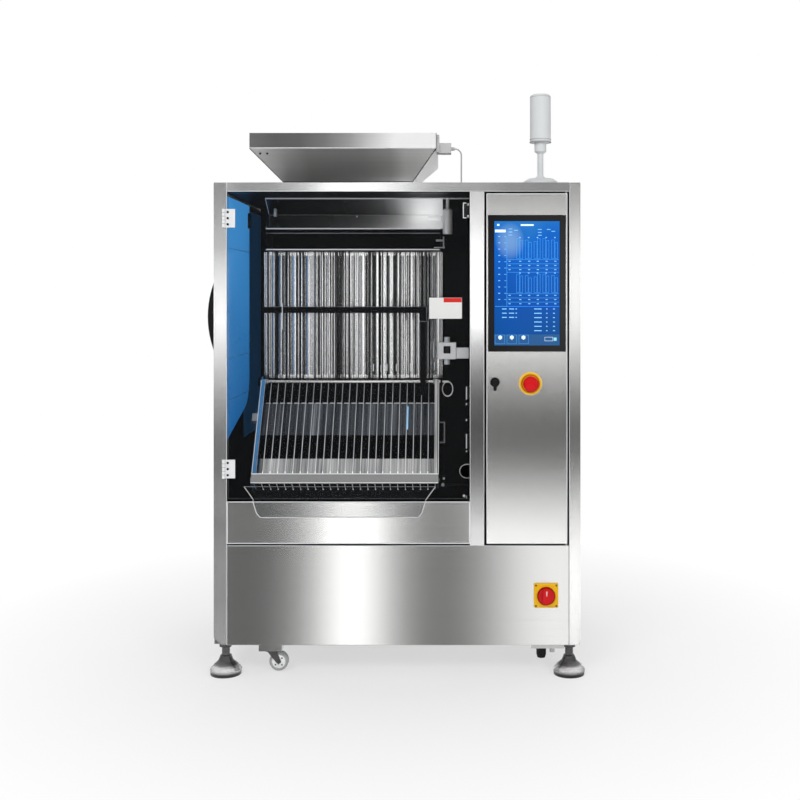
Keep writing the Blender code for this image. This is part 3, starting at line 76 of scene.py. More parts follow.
bpy.ops.object.camera_add(location=EYE, rotation=(math.radians(90), 0, 0))
camera = bpy.context.object
camera.data.sensor_width = 36.0
camera.data.lens = 50.04
camera.data.shift_x, camera.data.shift_y = -0.0625, -0.13125
bpy.context.scene.camera = camera
bpy.context.scene.view_settings.view_transform = "Standard"


def at(x, depth, z):
    """A place at a depth behind the front."""
    return Vector((x, FRONT + depth, z))


def at_pixel(px, py, depth=0.0):
    """The place that is seen at a point of the picture, at a depth behind the front."""
    reach = PIXEL * (AWAY + depth) / AWAY
    return at(EYE.x + (px - AHEAD[0]) * reach, depth, EYE.z - (py - AHEAD[1]) * reach)


print("the middle of the picture is at", at_pixel(400, 400))

# %% [markdown]
# ## Arithmetic on sockets
# A material is easier to read as a formula than as a web of nodes. This class wraps a socket,
# so that `1 - mask * 0.5` adds the Math nodes by itself. Any other node comes from `node`.

# %% Sockets and node trees
class Value:
    """The output of a node, which can be used in Python expressions."""

    def __init__(self, web, socket):
        self.web, self.socket = web, socket

    def maths(self, operation, *others, flip=False):
        terms = (*others, self) if flip else (self, *others)
        return self.web.node("ShaderNodeMath", {"operation": operation}, dict(enumerate(terms)))

    __add__ = partialmethod(maths, "ADD")
    __radd__ = partialmethod(maths, "ADD", flip=True)
    __sub__ = partialmethod(maths, "SUBTRACT")
    __rsub__ = partialmethod(maths, "SUBTRACT", flip=True)
    __mul__ = partialmethod(maths, "MULTIPLY")
    __rmul__ = partialmethod(maths, "MULTIPLY", flip=True)
    __truediv__ = partialmethod(maths, "DIVIDE")
    __gt__ = partialmethod(maths, "GREATER_THAN")
    __lt__ = partialmethod(maths, "LESS_THAN")
    __abs__ = partialmethod(maths, "ABSOLUTE")

    def clamp(self, low=0.0, high=1.0):
        return self.maths("MAXIMUM", low).maths("MINIMUM", high)

    def out(self, name):
        """Another output of the same node."""
        return Value(self.web, self.socket.node.outputs[name])


class Web:
    """The nodes of a material or of the world."""

    def __init__(self, owner):
        owner.use_nodes = True
        self.tree = owner.node_tree
        self.found = ()

    def node(self, kind, settings=None, inputs=None):
        """Adds a node, sets its options and then its sockets, and gives its first output."""
        made = self.tree.nodes.new(kind)
        for name, value in (settings or {}).items():
            setattr(made, name, value)
        for name, value in (inputs or {}).items():
            self.plug(made.inputs[name], value)
        return Value(self, made.outputs[0])

    def plug(self, socket, value):
        if isinstance(value, Value):
            self.tree.links.new(value.socket, socket)
        else:
            socket.default_value = value

    def split(self, vector):
        """The x, y and z of a vector."""
        x = self.node("ShaderNodeSeparateXYZ", None, {0: vector})
        return x, x.out("Y"), x.out("Z")

    def places(self):
        """Object coordinates, as a vector and as x, y and z."""
        if not self.found:
            vector = self.node("ShaderNodeTexCoord").out("Object")
            self.found = (vector, *self.split(vector))
        return self.found

    def normal(self):
        """The direction of the surface, which turns with its piece, as x, y and z."""
        return self.split(self.node(
            "ShaderNodeVectorTransform",
            {"vector_type": "NORMAL", "convert_from": "WORLD", "convert_to": "OBJECT"},
            {0: self.node("ShaderNodeNewGeometry").out("Normal")}))

    def noise(self, scale, detail=2.0):
        """Noise between 0 and 1 whose grain has one size, or a size along each axis."""
        scale = scale if isinstance(scale, tuple) else (scale,) * 3
        grain = self.node("ShaderNodeMapping", None, {0: self.places()[0], "Scale": scale})
        return self.node("ShaderNodeTexNoise", None,
                         {"Vector": grain, "Scale": 1.0, "Detail": detail})

    def blend(self, mask, first, second):
        """A colour between two colours."""
        made = self.tree.nodes.new("ShaderNodeMix")
        made.data_type = "RGBA"
        self.plug(made.inputs["Factor"], mask)
        for socket, colour in ((made.inputs[6], first), (made.inputs[7], second)):
            self.plug(socket, colour if isinstance(colour, Value) else (*colour, 1.0))
        return Value(self, made.outputs[2])

    def ramp(self, source, stops):
        """A colour that changes along stops of (place, tone) or (place, colour)."""
        made = self.node("ShaderNodeValToRGB", None, {0: source})
        marks = made.socket.node.color_ramp.elements
        while len(marks) < len(stops):
            marks.new(1.0)
        for mark, (place, colour) in zip(marks, stops):
            mark.position = place
            mark.color = (*(colour if isinstance(colour, tuple) else (colour,) * 3), 1.0)
        return made


class Finish(Web):
    """A material made round one Principled shader. Each last step gives the material."""

    def __init__(self, name, **sockets):
        self.material = bpy.data.materials.new(name)
        super().__init__(self.material)
        self.shader = self.tree.nodes["Principled BSDF"]
        self.set(**sockets)

    def set(self, **sockets):
        """Sets sockets by name: base_color=..., roughness=... and so on."""
        for name, value in sockets.items():
            label = name.replace("_", " ").title().replace("Ior", "IOR")
            if isinstance(value, tuple) and len(value) == 3:
                value = (*value, 1.0)
            self.plug(self.shader.inputs[label], value)
        return self.material

    def bump(self, height, strength, distance=0.0004):
        return self.set(normal=self.node("ShaderNodeBump", None, {
            "Height": height, "Strength": strength, "Distance": distance}))

    def blended(self, **sockets):
        """Lets what lies behind show through."""
        self.material.surface_render_method = "BLENDED"
        return self.set(**sockets)


print("materials can be written as formulas")

# %% [markdown]
# ## Light
# Steel shows its surroundings more than its own colour. A studio hangs pale cards and strips of
# light round a machine like this, so that its sheets show soft streaks. The world here is such a
# studio for reflections only: the camera sees plain white, and the lamps light the matt parts.

# %% Studio world and lamps
WHITE = (1, 1, 1, 1)


def studio():
    world = bpy.data.worlds.new("studio")
    bpy.context.scene.world = world
    web = Web(world)
    x, y, z = web.split(web.node("ShaderNodeTexCoord"))
    band = ((x.maths("ARCTAN2", y * -1) + 0.30) / 0.5236).maths("FRACT")
    cards = web.ramp(band, [(0.0, 0.14), (0.20, 0.05), (0.25, 0.02), (0.30, 0.06), (0.35, 0.26),
                            (0.385, 0.95), (0.42, 0.95), (0.455, 0.28), (0.50, 0.05), (0.57, 0.04),
                            (0.63, 0.12), (0.69, 0.42), (0.78, 0.58), (0.88, 0.26), (1.0, 0.14)])
    degrees = z.maths("ARCSINE") * (180 / math.pi)
    rows = web.ramp(degrees / 60 + 0.5, [
        (0.0, 0.40), (0.16, 0.50), (0.24, 0.95), (0.29, 1.0), (0.33, 0.50), (0.36, 0.05),
        (0.40, 0.06), (0.44, 0.42), (0.48, 0.95), (0.535, 0.95), (0.57, 0.40), (0.60, 0.20),
        (0.70, 0.40), (1.0, 0.60)])
    kind = "ShaderNodeBackground"
    plain = web.node(kind, None, {"Color": WHITE, "Strength": 0.46})
    glossy = web.node(kind, None, {"Strength": cards * rows * 6.8})
    white = web.node(kind, None, {"Color": WHITE, "Strength": 1.0})
    paths = web.node("ShaderNodeLightPath")
    seen = (paths + paths.out("Is Transmission Ray")).clamp()
    matt = web.node("ShaderNodeMixShader", None,
                    {0: paths.out("Is Glossy Ray"), 1: plain, 2: glossy})
    final = web.node("ShaderNodeMixShader", None, {0: seen, 1: matt, 2: white})
    web.tree.links.new(final.socket, web.tree.nodes["World Output"].inputs["Surface"])


def lamp(kind, name, place, aim, watts, **options):
    """A lamp that shines at a point and isn't seen in the steel."""
    bpy.ops.object.light_add(type=kind, location=place)
    made = bpy.context.object
    made.name = name
    made.data.energy = watts
    for option, value in options.items():
        setattr(made.data, option, value)
    made.rotation_euler = (Vector(aim) - Vector(place)).to_track_quat("-Z", "Y").to_euler()
    made.visible_glossy = False


studio()
for name, place, aim, width, depth, watts in (
        ("key", (-1.4, -3.6, 2.9), (0, 0, 0.8), 1.6, 1.2, 55),
        ("fill", (1.9, -3.2, 1.7), (0, 0, 0.7), 1.4, 1.4, 28),
        ("rim", (0.4, 2.8, 3.0), (0, 0, 0.9), 2.2, 1.0, 40)):
    lamp("AREA", name, place, aim, watts, shape="RECTANGLE", size=width, size_y=depth)
feeder_end = at_pixel(428, 214, 0.22)
lamp("SPOT", "feeder light", at(feeder_end.x, -0.9, 1.19), feeder_end, 30,
     spot_size=math.radians(8), spot_blend=1.0, shadow_soft_size=0.03)
bpy.ops.object.select_all(action="DESELECT")
print("studio and four lamps")


# %% Floor
def floor():
    bpy.ops.mesh.primitive_plane_add(size=40.0, location=(0, 0, 0))
    made = bpy.context.object
    made.name = "studio_floor"
    web = Finish("studio_floor", base_color=(0.86, 0.86, 0.86), roughness=0.9)
    far = web.node("ShaderNodeVectorMath", {"operation": "LENGTH"},
                   {0: web.places()[0]}).out("Value")
    glow = web.node("ShaderNodeEmission", None, {"Color": WHITE, "Strength": 1.0})
    paths = web.node("ShaderNodeLightPath")
    seen = (paths + paths.out("Is Transmission Ray") + paths.out("Is Glossy Ray")).clamp()
    share = seen * (0.55 + (far - 0.5) * 0.5).clamp(0.55, 1.0)
    mixed = web.node("ShaderNodeMixShader", None, {0: share, 2: glow})
    web.tree.links.new(web.shader.outputs[0], mixed.socket.node.inputs[1])
    web.tree.links.new(mixed.socket, web.tree.nodes["Material Output"].inputs["Surface"])
    made.data.materials.append(web.material)
    made.visible_glossy = False         # so that the lower sheets show the studio's cards
    bpy.ops.object.select_all(action="DESELECT")


floor()
print("a floor that fades to white")

# %% [markdown]
# ## Finishes
# Brushed stainless steel has fine straight scratches. They spread a reflection across the brush
# direction, so a sheet brushed from side to side shows tall streaks of light. The shader's
# anisotropy does that, and stretched noise gives the scratches themselves.

# %% Brushed steel
def steel(name, brush="X", roughness=0.21, shade=0.62, anisotropy=1.0, metallic=1.0, drift=None):
    """Stainless sheet brushed along X or along Z. A drift paints highlights and shade into its tone
    along an axis.
    """
    grains = {"X": ((3.0, 40.0, 420.0), (1.6, 8.0, 70.0)),
              "Z": ((420.0, 40.0, 3.0), (70.0, 8.0, 1.6))}[brush]
    web = Finish(name, metallic=metallic, anisotropic=anisotropy)
    fine, broad, cloud = [web.noise(grain) for grain in (*grains, 2.2)]
    tone = fine * 0.5 + broad * 0.3 + cloud * 0.2
    if drift:
        axis, start, end, stops = drift
        along = (dict(zip("XYZ", web.places()[1:]))[axis] - start) / (end - start)
        web.set(base_color=(web.ramp(along.clamp(), stops) * (0.91 + tone * 0.18)).clamp())
    else:
        low, high = shade * 0.90, shade * 1.08
        web.set(base_color=web.blend(tone, (low, low, low * 0.985), (high, high, high * 0.985)))
    web.set(roughness=roughness * (0.88 + fine * 0.16 + cloud * 0.08))
    if brush == "X":
        web.set(anisotropic_rotation=0.25)
    return web.bump(fine, 0.10)


sheet_across = steel("stainless_brushed_across")
# The control door, the sill and the frame's right strip take copies of the same steel painted
# lighter, 0.80 against 0.62, for the light they catch.
sheet_upright = steel("stainless_brushed_upright", "Z", shade=0.80)
sheet_sill = steel("stainless_sill_painted_lighter", shade=0.80)
upright_painted_lighter = steel("stainless_brushed_painted_lighter", "Z", shade=0.80)
sheet_plain = steel("stainless_plain", roughness=0.30, shade=0.58, anisotropy=0.4)
bright_steel = steel("stainless_bright", roughness=0.16, shade=0.72, anisotropy=0.0)
# The beam, the left post and the post between the doors carry painted highlights and shade: their
# drift stops lay streaks of light and darker bands into the tone.
beam_steel_painted_light = steel("stainless_beam_painted_light", roughness=0.24, anisotropy=0.9, metallic=0.75, drift=(
    "X", LEFT, RIGHT, [(0.0, 0.95), (0.08, 0.62), (0.16, 0.60), (0.25, 0.74), (0.30, 0.96),
                       (0.51, 1.0), (0.60, 0.68), (0.72, 0.52), (0.80, 0.32), (0.90, 0.24)]))
post_steel_painted_light = steel("stainless_left_post_painted_light", "Z", metallic=0.9, drift=(
    "Z", UNDERSIDE, TOP, [(0.0, 0.32), (0.10, 0.24), (0.26, 0.24), (0.38, 0.50), (0.50, 0.95),
                          (0.70, 0.98), (0.80, 0.70), (0.86, 0.52), (1.0, 0.60)]))
middle_steel_painted_light = steel("stainless_middle_post_painted_light", "Z", metallic=0.8, drift=(
    "Z", 0.40, TOP, [(0.0, 0.66), (0.09, 0.50), (0.16, 0.36), (0.23, 0.30), (0.30, 0.26),
                     (0.375, 0.29), (0.45, 0.42), (0.52, 0.64), (0.59, 1.0)]))
print("brushed steel across and upright")

# %% [markdown]
# Some sheets lie where the studio's cards don't reach: the feeder's panel under the ceiling, and
# the hopper, whose walls look down at the floor. Years of wiping make such sheets less like
# mirrors, so they are partly matt. Their light and shade are painted into their tone: dark at the
# left end, which faces the dark bay, and lighter towards the right. Faces that look down and faces
# that look to the right get painted tones of their own.

# %% Shaded sheets
def steel_with_painted_light(name, node, level, matt, mirror, stops, downward_painted_stops):
    """Partly matt steel with painted light and shade: its tone drifts along X, faces that look down
    have their own painted stops, and faces that look to +X are painted full bright.
    """
    low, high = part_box(node)
    web = Finish(name)
    fine = web.noise((3.0, 40.0, 420.0))
    slow = web.noise((3.0, 3.0, 9.0), detail=1.0)
    along = ((web.places()[1] - low.x) / (high.x - low.x) + (slow - 0.5) * 0.06).clamp()
    across, _, rise = web.normal()
    tone = web.ramp(along, stops) * 1.0
    tone = tone + (rise < -0.2) * (web.ramp(along, downward_painted_stops) * 1.0 - tone)
    tone = tone + (across > 0.3) * (1.0 - tone)
    web.set(base_color=(tone * (0.92 + fine * 0.16)).clamp(), roughness=level * (0.9 + fine * 0.2),
            metallic=matt + (mirror - matt) * (1 - along))
    return web.bump(fine, 0.10)


feeder_steel_painted_light = steel_with_painted_light(
    "feeder_stainless_painted_light", "feeder_tray", 0.24, 0.15, 1.0,
    [(0.0, 0.18), (0.30, 0.18), (0.48, 0.26), (0.60, 0.36), (0.70, 0.62), (0.84, 1.0)],
    [(0.0, 0.10), (0.06, 0.03), (0.44, 0.05), (0.56, 0.08), (0.67, 0.18), (0.73, 0.40),
     (0.79, 0.80), (0.88, 1.0)])
hopper_steel_painted_light = steel_with_painted_light(
    "hopper_stainless_painted_light", "hopper", 0.34, 0.5, 0.5,
    [(0.0, 0.17), (0.14, 0.125), (0.27, 0.135), (0.40, 0.21), (0.53, 0.37), (0.65, 0.68),
     (0.78, 1.0)],
    [(0.0, 0.95), (0.14, 0.75), (0.30, 0.50), (0.46, 0.50), (0.60, 0.52), (0.75, 0.66),
     (0.84, 1.0)])
print("shaded sheets")

# %% [markdown]
# ## Other finishes
# Painted, moulded and cast parts are never one flat colour either: a little noise in the tone,
# the roughness and the bump keeps them from looking like paper.

# %% Painted and moulded finishes
def coated(name, colour, roughness=0.4, bump=0.05, drift=0.12, shine=0.5, **more):
    """A painted or moulded surface with a fine grain and a slow drift in its tone."""
    web = Finish(name, specular_ior_level=shine, **more)
    fine, slow = web.noise(300.0), web.noise(6.0)
    dark = tuple(c * (1 - drift) for c in colour)
    light = tuple(min(c * (1 + drift), 1.0) for c in colour)
    web.set(base_color=web.blend(fine * 0.4 + slow * 0.6, dark, light),
            roughness=roughness * (0.85 + slow * 0.3))
    return web.bump(fine, bump, 0.0003)


black_paint = coated("black_anodised", (0.0030, 0.0034, 0.0040), 0.45, shine=0.02)
black_gloss = coated("black_glossy", (0.005, 0.005, 0.006), 0.12, 0.01, shine=0.2)
black_plastic = coated("black_moulded", (0.006, 0.006, 0.007), 0.38, 0.12, shine=0.2)
navy_paint = coated("navy_painted", (0.0045, 0.010, 0.020), shine=0.02)
# A faint navy glow: painted blue light from the side pane, on the door's lining.
navy_painted_glow = coated("navy_painted_glow", (0.012, 0.036, 0.075), shine=0.1,
                  emission_color=(0.0015, 0.0135, 0.034), emission_strength=1.0)
grey_cast = coated("grey_satin", (0.60, 0.60, 0.60), 0.36, metallic=0.35)
# Near-white and partly metal: the colour of pale parts such as the hinges, the sensor block and the
# hub plates, and a painted highlight on the thin wires along folds, hems and cut edges.
pale_parts_and_highlights = coated("pale_parts_and_painted_highlights", (0.93, 0.94, 0.95), 0.25, 0.01, 0.03, metallic=0.25)
# Glows a little: a painted glint for the lane plates' feet and tips on the chute.
glint_painted_glow = coated("glint_painted_glow", (0.90, 0.93, 0.96), 0.3, 0.01, 0.03,
                  emission_color=(0.88, 0.94, 1.0), emission_strength=0.42)
dim_edge = coated("satin_edge", (0.36, 0.37, 0.38), 0.3, 0.02, metallic=0.5)
dark_steel = coated("dark_steel", (0.10, 0.10, 0.10), 0.35, metallic=0.7)
yellow = coated("yellow_moulded", (0.94, 0.54, 0.018), 0.34, 0.03, 0.05, 0.15)
# The amber and dark red rings paint shade in grooves, and the cream ring paints a highlight on the
# stop's rim.
amber = coated("amber_painted_groove_shade", (0.50, 0.13, 0.006), 0.34, 0.03, 0.05, 0.15)
cream = coated("cream_painted_rim_highlight", (0.86, 0.72, 0.34), 0.34, 0.02, 0.04, 0.2)
seam_blue = coated("seam_blue", (0.10, 0.30, 0.52), 0.3, 0.02, shine=0.2)
red = coated("red_moulded", (0.64, 0.006, 0.010), 0.26, 0.02, 0.06, 0.2)
red_paint = coated("red_panel", (0.66, 0.03, 0.025), 0.4, 0.02, 0.06, 0.2)
red_groove_painted_shade = coated("red_groove_painted_shade", (0.16, 0.004, 0.006), 0.4, 0.02, shine=0.1)
lamp_plastic = coated("lamp_plastic", (0.70, 0.72, 0.73), 0.34, 0.02, 0.03)
cable_sheath = coated("cable_sheath", (0.42, 0.42, 0.43), 0.5)
grey_rubber = coated("wheel_rubber", (0.40, 0.41, 0.41), 0.55, 0.15)
black_rubber = coated("black_rubber", (0.02, 0.02, 0.02), 0.65, 0.15)
white_plate = coated("white_plate", (0.78, 0.78, 0.77), 0.35, 0.01, 0.02)
print("painted and moulded finishes")


# %% Clear door, lip and blue window
def door_finish():
    """Clear sheet, nearly unseen through its faces and bright on its cut edges."""
    face, edge = 0.006, 0.55
    web = Finish("clear_door", base_color=(0.55, 0.58, 0.60), roughness=0.06, ior=1.49)
    flat = abs(web.normal()[1]) > 0.8
    scuff = web.noise(9.0, detail=3.0)
    return web.blended(alpha=(edge + flat * (face - edge)) * (0.85 + scuff * 0.3))


def lip_finish():
    """The clear lip, which darkens the sill behind it and is nearly unseen above the sill."""
    web = Finish("clear_lip", base_color=(0.06, 0.07, 0.08), roughness=0.22, ior=1.49,
                 specular_ior_level=0.3)
    before_sill = web.places()[3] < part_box("sill_panel")[1].z
    return web.blended(alpha=0.03 + before_sill * 0.08)


def blue_pane():
    """Blue acrylic whose glow paints the light from outside, a little paler towards the top."""
    web = Finish("blue_window_painted_glow", roughness=0.16, emission_strength=0.62, alpha=0.93)
    foot, rise = 0.65, 0.65
    cloud = (web.noise(5.0, detail=3.0) - 0.5) * 0.3
    height = ((web.places()[3] - foot) / rise + cloud).clamp()
    tint = web.blend(height, (0.011, 0.122, 0.342), (0.052, 0.290, 0.645))
    return web.blended(base_color=tint, emission_color=tint)


door_clear = door_finish()
lip_clear = lip_finish()
blue_painted_glow = blue_pane()
print("clear and blue sheets")

# %% [markdown]
# The swinging chute hangs from its rod at a slope, so the finishes of its plates need to know how
# far a point lies behind the rod's line. Two sums on Object coordinates turn the slope upright.

# %% The chute's slope and its finishes
ROD = (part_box("chute_rod")[0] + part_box("chute_rod")[1]) / 2
SLOPE = math.atan2(0.164, 0.251)    # the chute's run to the front over its drop


def on_chute(x, out, down):
    """A place on the chute: to the right of its middle, behind the rod's line, down the slope."""
    return Vector((ROD.x + x, ROD.y + out * math.cos(SLOPE) - down * math.sin(SLOPE),
                   ROD.z - out * math.sin(SLOPE) - down * math.cos(SLOPE)))


def slope_places(web):
    """X from the chute's middle, the distance behind the rod's line, and down the slope."""
    x, y, z = web.places()[1:]
    dy, dz = y - ROD.y, z - ROD.z
    return (x - ROD.x, dy * math.cos(SLOPE) - dz * math.sin(SLOPE),
            (dy * math.sin(SLOPE) + dz * math.cos(SLOPE)) * -1)


def comb_finish():
    """Clear lane plates whose front edges and feet carry a painted highlight, and whose faces are
    nearly unseen.
    """
    web = Finish("clear_lane_plates", roughness=0.14, specular_ior_level=0.06)
    _, out, down = slope_places(web)
    front_edge, foot = out < -0.0068, down > 0.3175
    bright = (front_edge + foot * 0.55).clamp()
    grain = web.noise((260.0, 30.0, 14.0), detail=1.0)
    tone = bright * (0.35 + grain * 0.95).clamp()
    return web.blended(base_color=web.blend(tone, (0.20, 0.23, 0.27), (0.92, 0.95, 0.98)),
                       alpha=0.008 + bright * (0.34 + (down / 0.3).clamp() * 0.5))


def floor_finish():
    """Smoked clear floor under the lanes, streaked by the lanes' reflections."""
    web = Finish("clear_lane_floor", roughness=0.15, specular_ior_level=0.2)
    coarse = web.noise((70.0, 2.0, 2.0), detail=1.0)
    fine = web.noise((260.0, 2.0, 3.0), detail=1.0)
    tone = (coarse * 0.6 + fine * 0.55 - 0.42) * 2.6
    return web.blended(alpha=0.93, base_color=web.ramp(tone.clamp(), [
        (0.0, (0.022, 0.026, 0.032)), (0.5, (0.062, 0.070, 0.082)),
        (0.85, (0.13, 0.142, 0.16)), (1.0, (0.30, 0.32, 0.34))]))


def chute_finish():
    """The chute's sheet: dark side plates, blue-lit at the left, and a streaked band below."""
    web = Finish("chute_stainless", roughness=0.24)
    x, out, _ = slope_places(web)
    streak = web.noise((230.0, 4.0, 6.0))
    slow = web.noise((24.0, 4.0, 4.0), detail=1.0)
    left_plate, left_clip = (x < -0.2432) * (x > -0.2560), x < -0.2560
    lower_bar, inside = out < -0.0124, abs(x) < 0.2505
    band = ((streak - 0.5) * 1.3 + 0.46 + (slow - 0.5) * 0.9).clamp(0.10, 0.95)
    plain = web.blend(band * inside, (0.085, 0.088, 0.092), (0.86, 0.86, 0.85))
    blue = web.blend(slow, (0.020, 0.105, 0.250), (0.075, 0.290, 0.560))
    steady = web.blend((lower_bar + left_clip).clamp(), plain, (0.27, 0.27, 0.27))
    web.set(base_color=web.blend(left_plate * (1 - lower_bar), steady, blue), metallic=0.35)
    return web.bump(streak, 0.08)


comb_clear = comb_finish()
floor_clear = floor_finish()
chute_steel = chute_finish()
print("the slope is", round(math.degrees(SLOPE), 1), "degrees from upright")

# %% [markdown]
# ## Tubes
# The tubes stand side by side in front of a plate. Each is a channel with a narrow slot, and the
# bank reads as upright streaks from white to black. These streaks are painted reflections: noise
# that changes only along X paints every tube its own tones from top to foot, from near black to
# white.

# %% Tube finishes
def channel(name, lift, stops):
    web = Finish(name, metallic=0.85, roughness=0.22)
    coarse = web.noise((84.0, 3.0, 0.3), detail=1.0)
    fine = web.noise((390.0, 3.0, 0.3), detail=1.0)
    tone = ((coarse * 0.42 + fine * 0.84) - 0.50) * 5.2 + lift
    return web.set(base_color=web.ramp(tone.clamp(), stops))


tube_painted_streaks = channel("channel_steel_painted_streaks", 0.0, [(0.0, 0.012), (0.34, 0.12), (0.58, 0.50), (0.85, 1.0)])
channel_back_painted_streaks = channel("channel_back_painted_streaks", -0.10,
                       [(0.0, 0.006), (0.45, 0.03), (0.75, 0.12), (1.0, 0.60)])
print("tube finishes")

# %% [markdown]
# ## Screen and feet
# The touch screen shows a blue page with pale charts. Its glow is a slow change of blue from top
# to foot. The lines of the charts are thin solids in front of the glass, made further on, and they
# carry no words. A levelling foot changes its finish with height.

# %% Screen and foot finishes
def screen_glow():
    web = Finish("screen_page", roughness=0.08, base_color=(0.001, 0.012, 0.04),
                 specular_ior_level=0.06)
    low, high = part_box("display")
    size = high - low
    swirl = (web.noise((9.0, 9.0, 5.0), detail=1.0) - 0.5) * 0.5
    page = web.ramp(((web.places()[3] - low.z) / size.z + swirl).clamp(), [
        (0.0, (0.004, 0.075, 0.27)), (0.40, (0.001, 0.085, 0.45)), (0.8, (0.003, 0.13, 0.60)),
        (1.0, (0.020, 0.20, 0.62))])
    across = (web.places()[1] - (low.x + size.x * 0.24)) / 0.040
    upward = (web.places()[3] - (low.z + size.z * 0.84)) / 0.052
    glare = (1 - across * across - upward * upward).clamp() * 0.55
    return web.set(emission_color=web.blend(glare, page, (0.34, 0.58, 0.84)),
                   emission_strength=0.92)


def foot_finish():
    """A levelling foot: a black rubber pad, a bell with a painted band of highlight, and a darker
    threaded stem.
    """
    web = Finish("levelling_foot", roughness=0.26)
    height = web.places()[3]
    fine = web.noise((90.0, 90.0, 500.0))
    tone = web.ramp((height / UNDERSIDE).clamp(), [
        (0.0, 0.012), (0.092, 0.012), (0.10, 0.16), (0.15, 0.40), (0.20, 0.75), (0.28, 0.75),
        (0.34, 0.18), (0.46, 0.10)])
    web.set(base_color=(tone * (0.85 + fine * 0.3)).clamp(), metallic=(height > 0.0082) * 0.85)
    return web.bump(fine, 0.12)


def glowing(name, colour, strength):
    return Finish(name, base_color=colour, roughness=0.3, emission_strength=strength).set(
        emission_color=colour)


page_blue = screen_glow()
foot_steel = foot_finish()
chart_pale = glowing("chart_lines", (0.04, 0.30, 0.74), 0.7)
chart_soft = glowing("chart_dashes", (0.20, 0.50, 0.82), 0.6)
chart_white = glowing("chart_white", (0.66, 0.78, 0.90), 0.5)
chart_strip = glowing("chart_strip", (0.003, 0.055, 0.17), 0.7)
chart_teal = glowing("chart_teal", (0.22, 0.55, 0.62), 0.5)
print("screen and foot finishes")

# %% [markdown]
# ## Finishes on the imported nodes
# A node whose shape is right keeps it and only gets its finish.

# %% Finish every node
CORNERS = ("front_left", "front_right", "rear_left", "rear_right")
CASTERS = ("front_left", "rear_left", "rear_right")
FINISHES = {
    sheet_sill: ["sill_panel"],
    sheet_across: ["back_panel", "right_side_panel", "side_door", "lower_housing", "front_fascia"],
    beam_steel_painted_light: ["front_frame"],
    post_steel_painted_light: ["left_post"],
    sheet_upright: ["control_door"],
    feeder_steel_painted_light: ["feeder_panel"],
    hopper_steel_painted_light: ["hopper"],
    sheet_plain: ["top_plate", "bottom_pan", "inlet_plate"],
    chute_steel: ["chute_frame"],
    foot_steel: ["foot_" + corner for corner in CORNERS],
    dark_steel: ["caster_fork_" + corner for corner in CASTERS],
    bright_steel: ["chute_rod", "side_hinge_lower", "side_hinge_upper"],
    black_paint: ["partition_wall", "bulkhead", "crossbar", "feeder_tray"],
    navy_paint: ["inner_back_wall"],
    black_gloss: ["screen_unit"],
    black_plastic: ["door_catch", "side_door_handle", "key_lock", "air_inlet"],
    grey_cast: ["hopper_sensor", "feeder_drive"],
    pale_parts_and_highlights: ["front_hinge_upper", "front_hinge_lower", "sensor_block", "latch_ring"],
    door_clear: ["front_door"],
    comb_clear: ["lane_dividers"],
    floor_clear: ["lane_floor"],
    lip_clear: ["discharge_lip"],
    blue_painted_glow: ["side_window"],
    page_blue: ["display"],
    yellow: ["stop_collar", "switch_plate"],
    red: ["stop_button", "switch_knob"],
    lamp_plastic: ["lamp_stand", "lamp"],
    cable_sheath: ["sensor_lead"],
    grey_rubber: ["caster_wheel_" + corner for corner in CASTERS],
    tube_painted_streaks: ["tube_bank"],
}
for finish, names in FINISHES.items():
    for name in names:
        nodes[name].data.materials.clear()
        nodes[name].data.materials.append(finish)
print("bare nodes:", sorted(set(nodes) - {n for names in FINISHES.values() for n in names}))

# %% [markdown]
# ## Helpers for new pieces
# Each helper is one habit of modelling by hand: add a primitive at its size and place, shape it,
# and apply its place to its mesh. `put` then joins the parts of a piece, gives it a finish and
# tells it which body carries it.

# %% Helpers that join and finish
BODY_OF = {node: body for body, members in frame["record"]["behaviour"]["bodies"].items()
           for node in members}


def join(pieces):
    """Joins pieces into one, which is selected and active."""
    bpy.ops.object.select_all(action="DESELECT")
    for piece in pieces:
        piece.select_set(True)
    bpy.context.view_layer.objects.active = pieces[0]
    if len(pieces) > 1:
        bpy.ops.object.join()
    return bpy.context.object


def put(name, finish, shape, body="cabinet", smooth=30):
    """Makes a shape, or a list of shapes, one finished piece that rides on a body."""
    piece = join(shape if isinstance(shape, list) else [shape])
    piece.name = piece.data.name = name
    bpy.ops.object.transform_apply(location=True, rotation=True, scale=True)
    if smooth:
        bpy.ops.object.shade_smooth_by_angle(angle=math.radians(smooth))
    piece.data.materials.clear()
    piece.data.materials.append(finish)
    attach(piece, body)
    bpy.ops.object.select_all(action="DESELECT")


def modify(kind, **settings):
    """Adds a modifier to the active piece and applies it."""
    step = bpy.context.object.modifiers.new(kind.title(), kind)
    for name, value in settings.items():
        setattr(step, name, value)
    bpy.ops.object.modifier_apply(modifier=step.name)


# %% Helpers for shapes
def slab(low, high, edge=0.0, segments=2):
    """A box between two corners with rounded edges."""
    low, high = Vector(low), Vector(high)
    bpy.ops.mesh.primitive_cube_add(size=1.0, location=(low + high) / 2)
    bpy.context.object.scale = high - low
    bpy.ops.object.transform_apply(location=True, rotation=True, scale=True)
    if edge:
        modify("BEVEL", width=edge, segments=segments, limit_method="NONE")
    return bpy.context.object


def bar(start, end, radius, edge=0.0, steps=16):
    """A round bar between two points. With six steps it is a nut."""
    start, end = Vector(start), Vector(end)
    way = end - start
    bpy.ops.mesh.primitive_cylinder_add(vertices=steps, radius=radius, depth=way.length,
                                        location=(start + end) / 2,
                                        rotation=way.to_track_quat("Z", "Y").to_euler())
    bpy.ops.object.transform_apply(location=True, rotation=True, scale=True)
    if edge:
        modify("BEVEL", width=edge, segments=2, limit_method="ANGLE", angle_limit=math.radians(50))
    return bpy.context.object


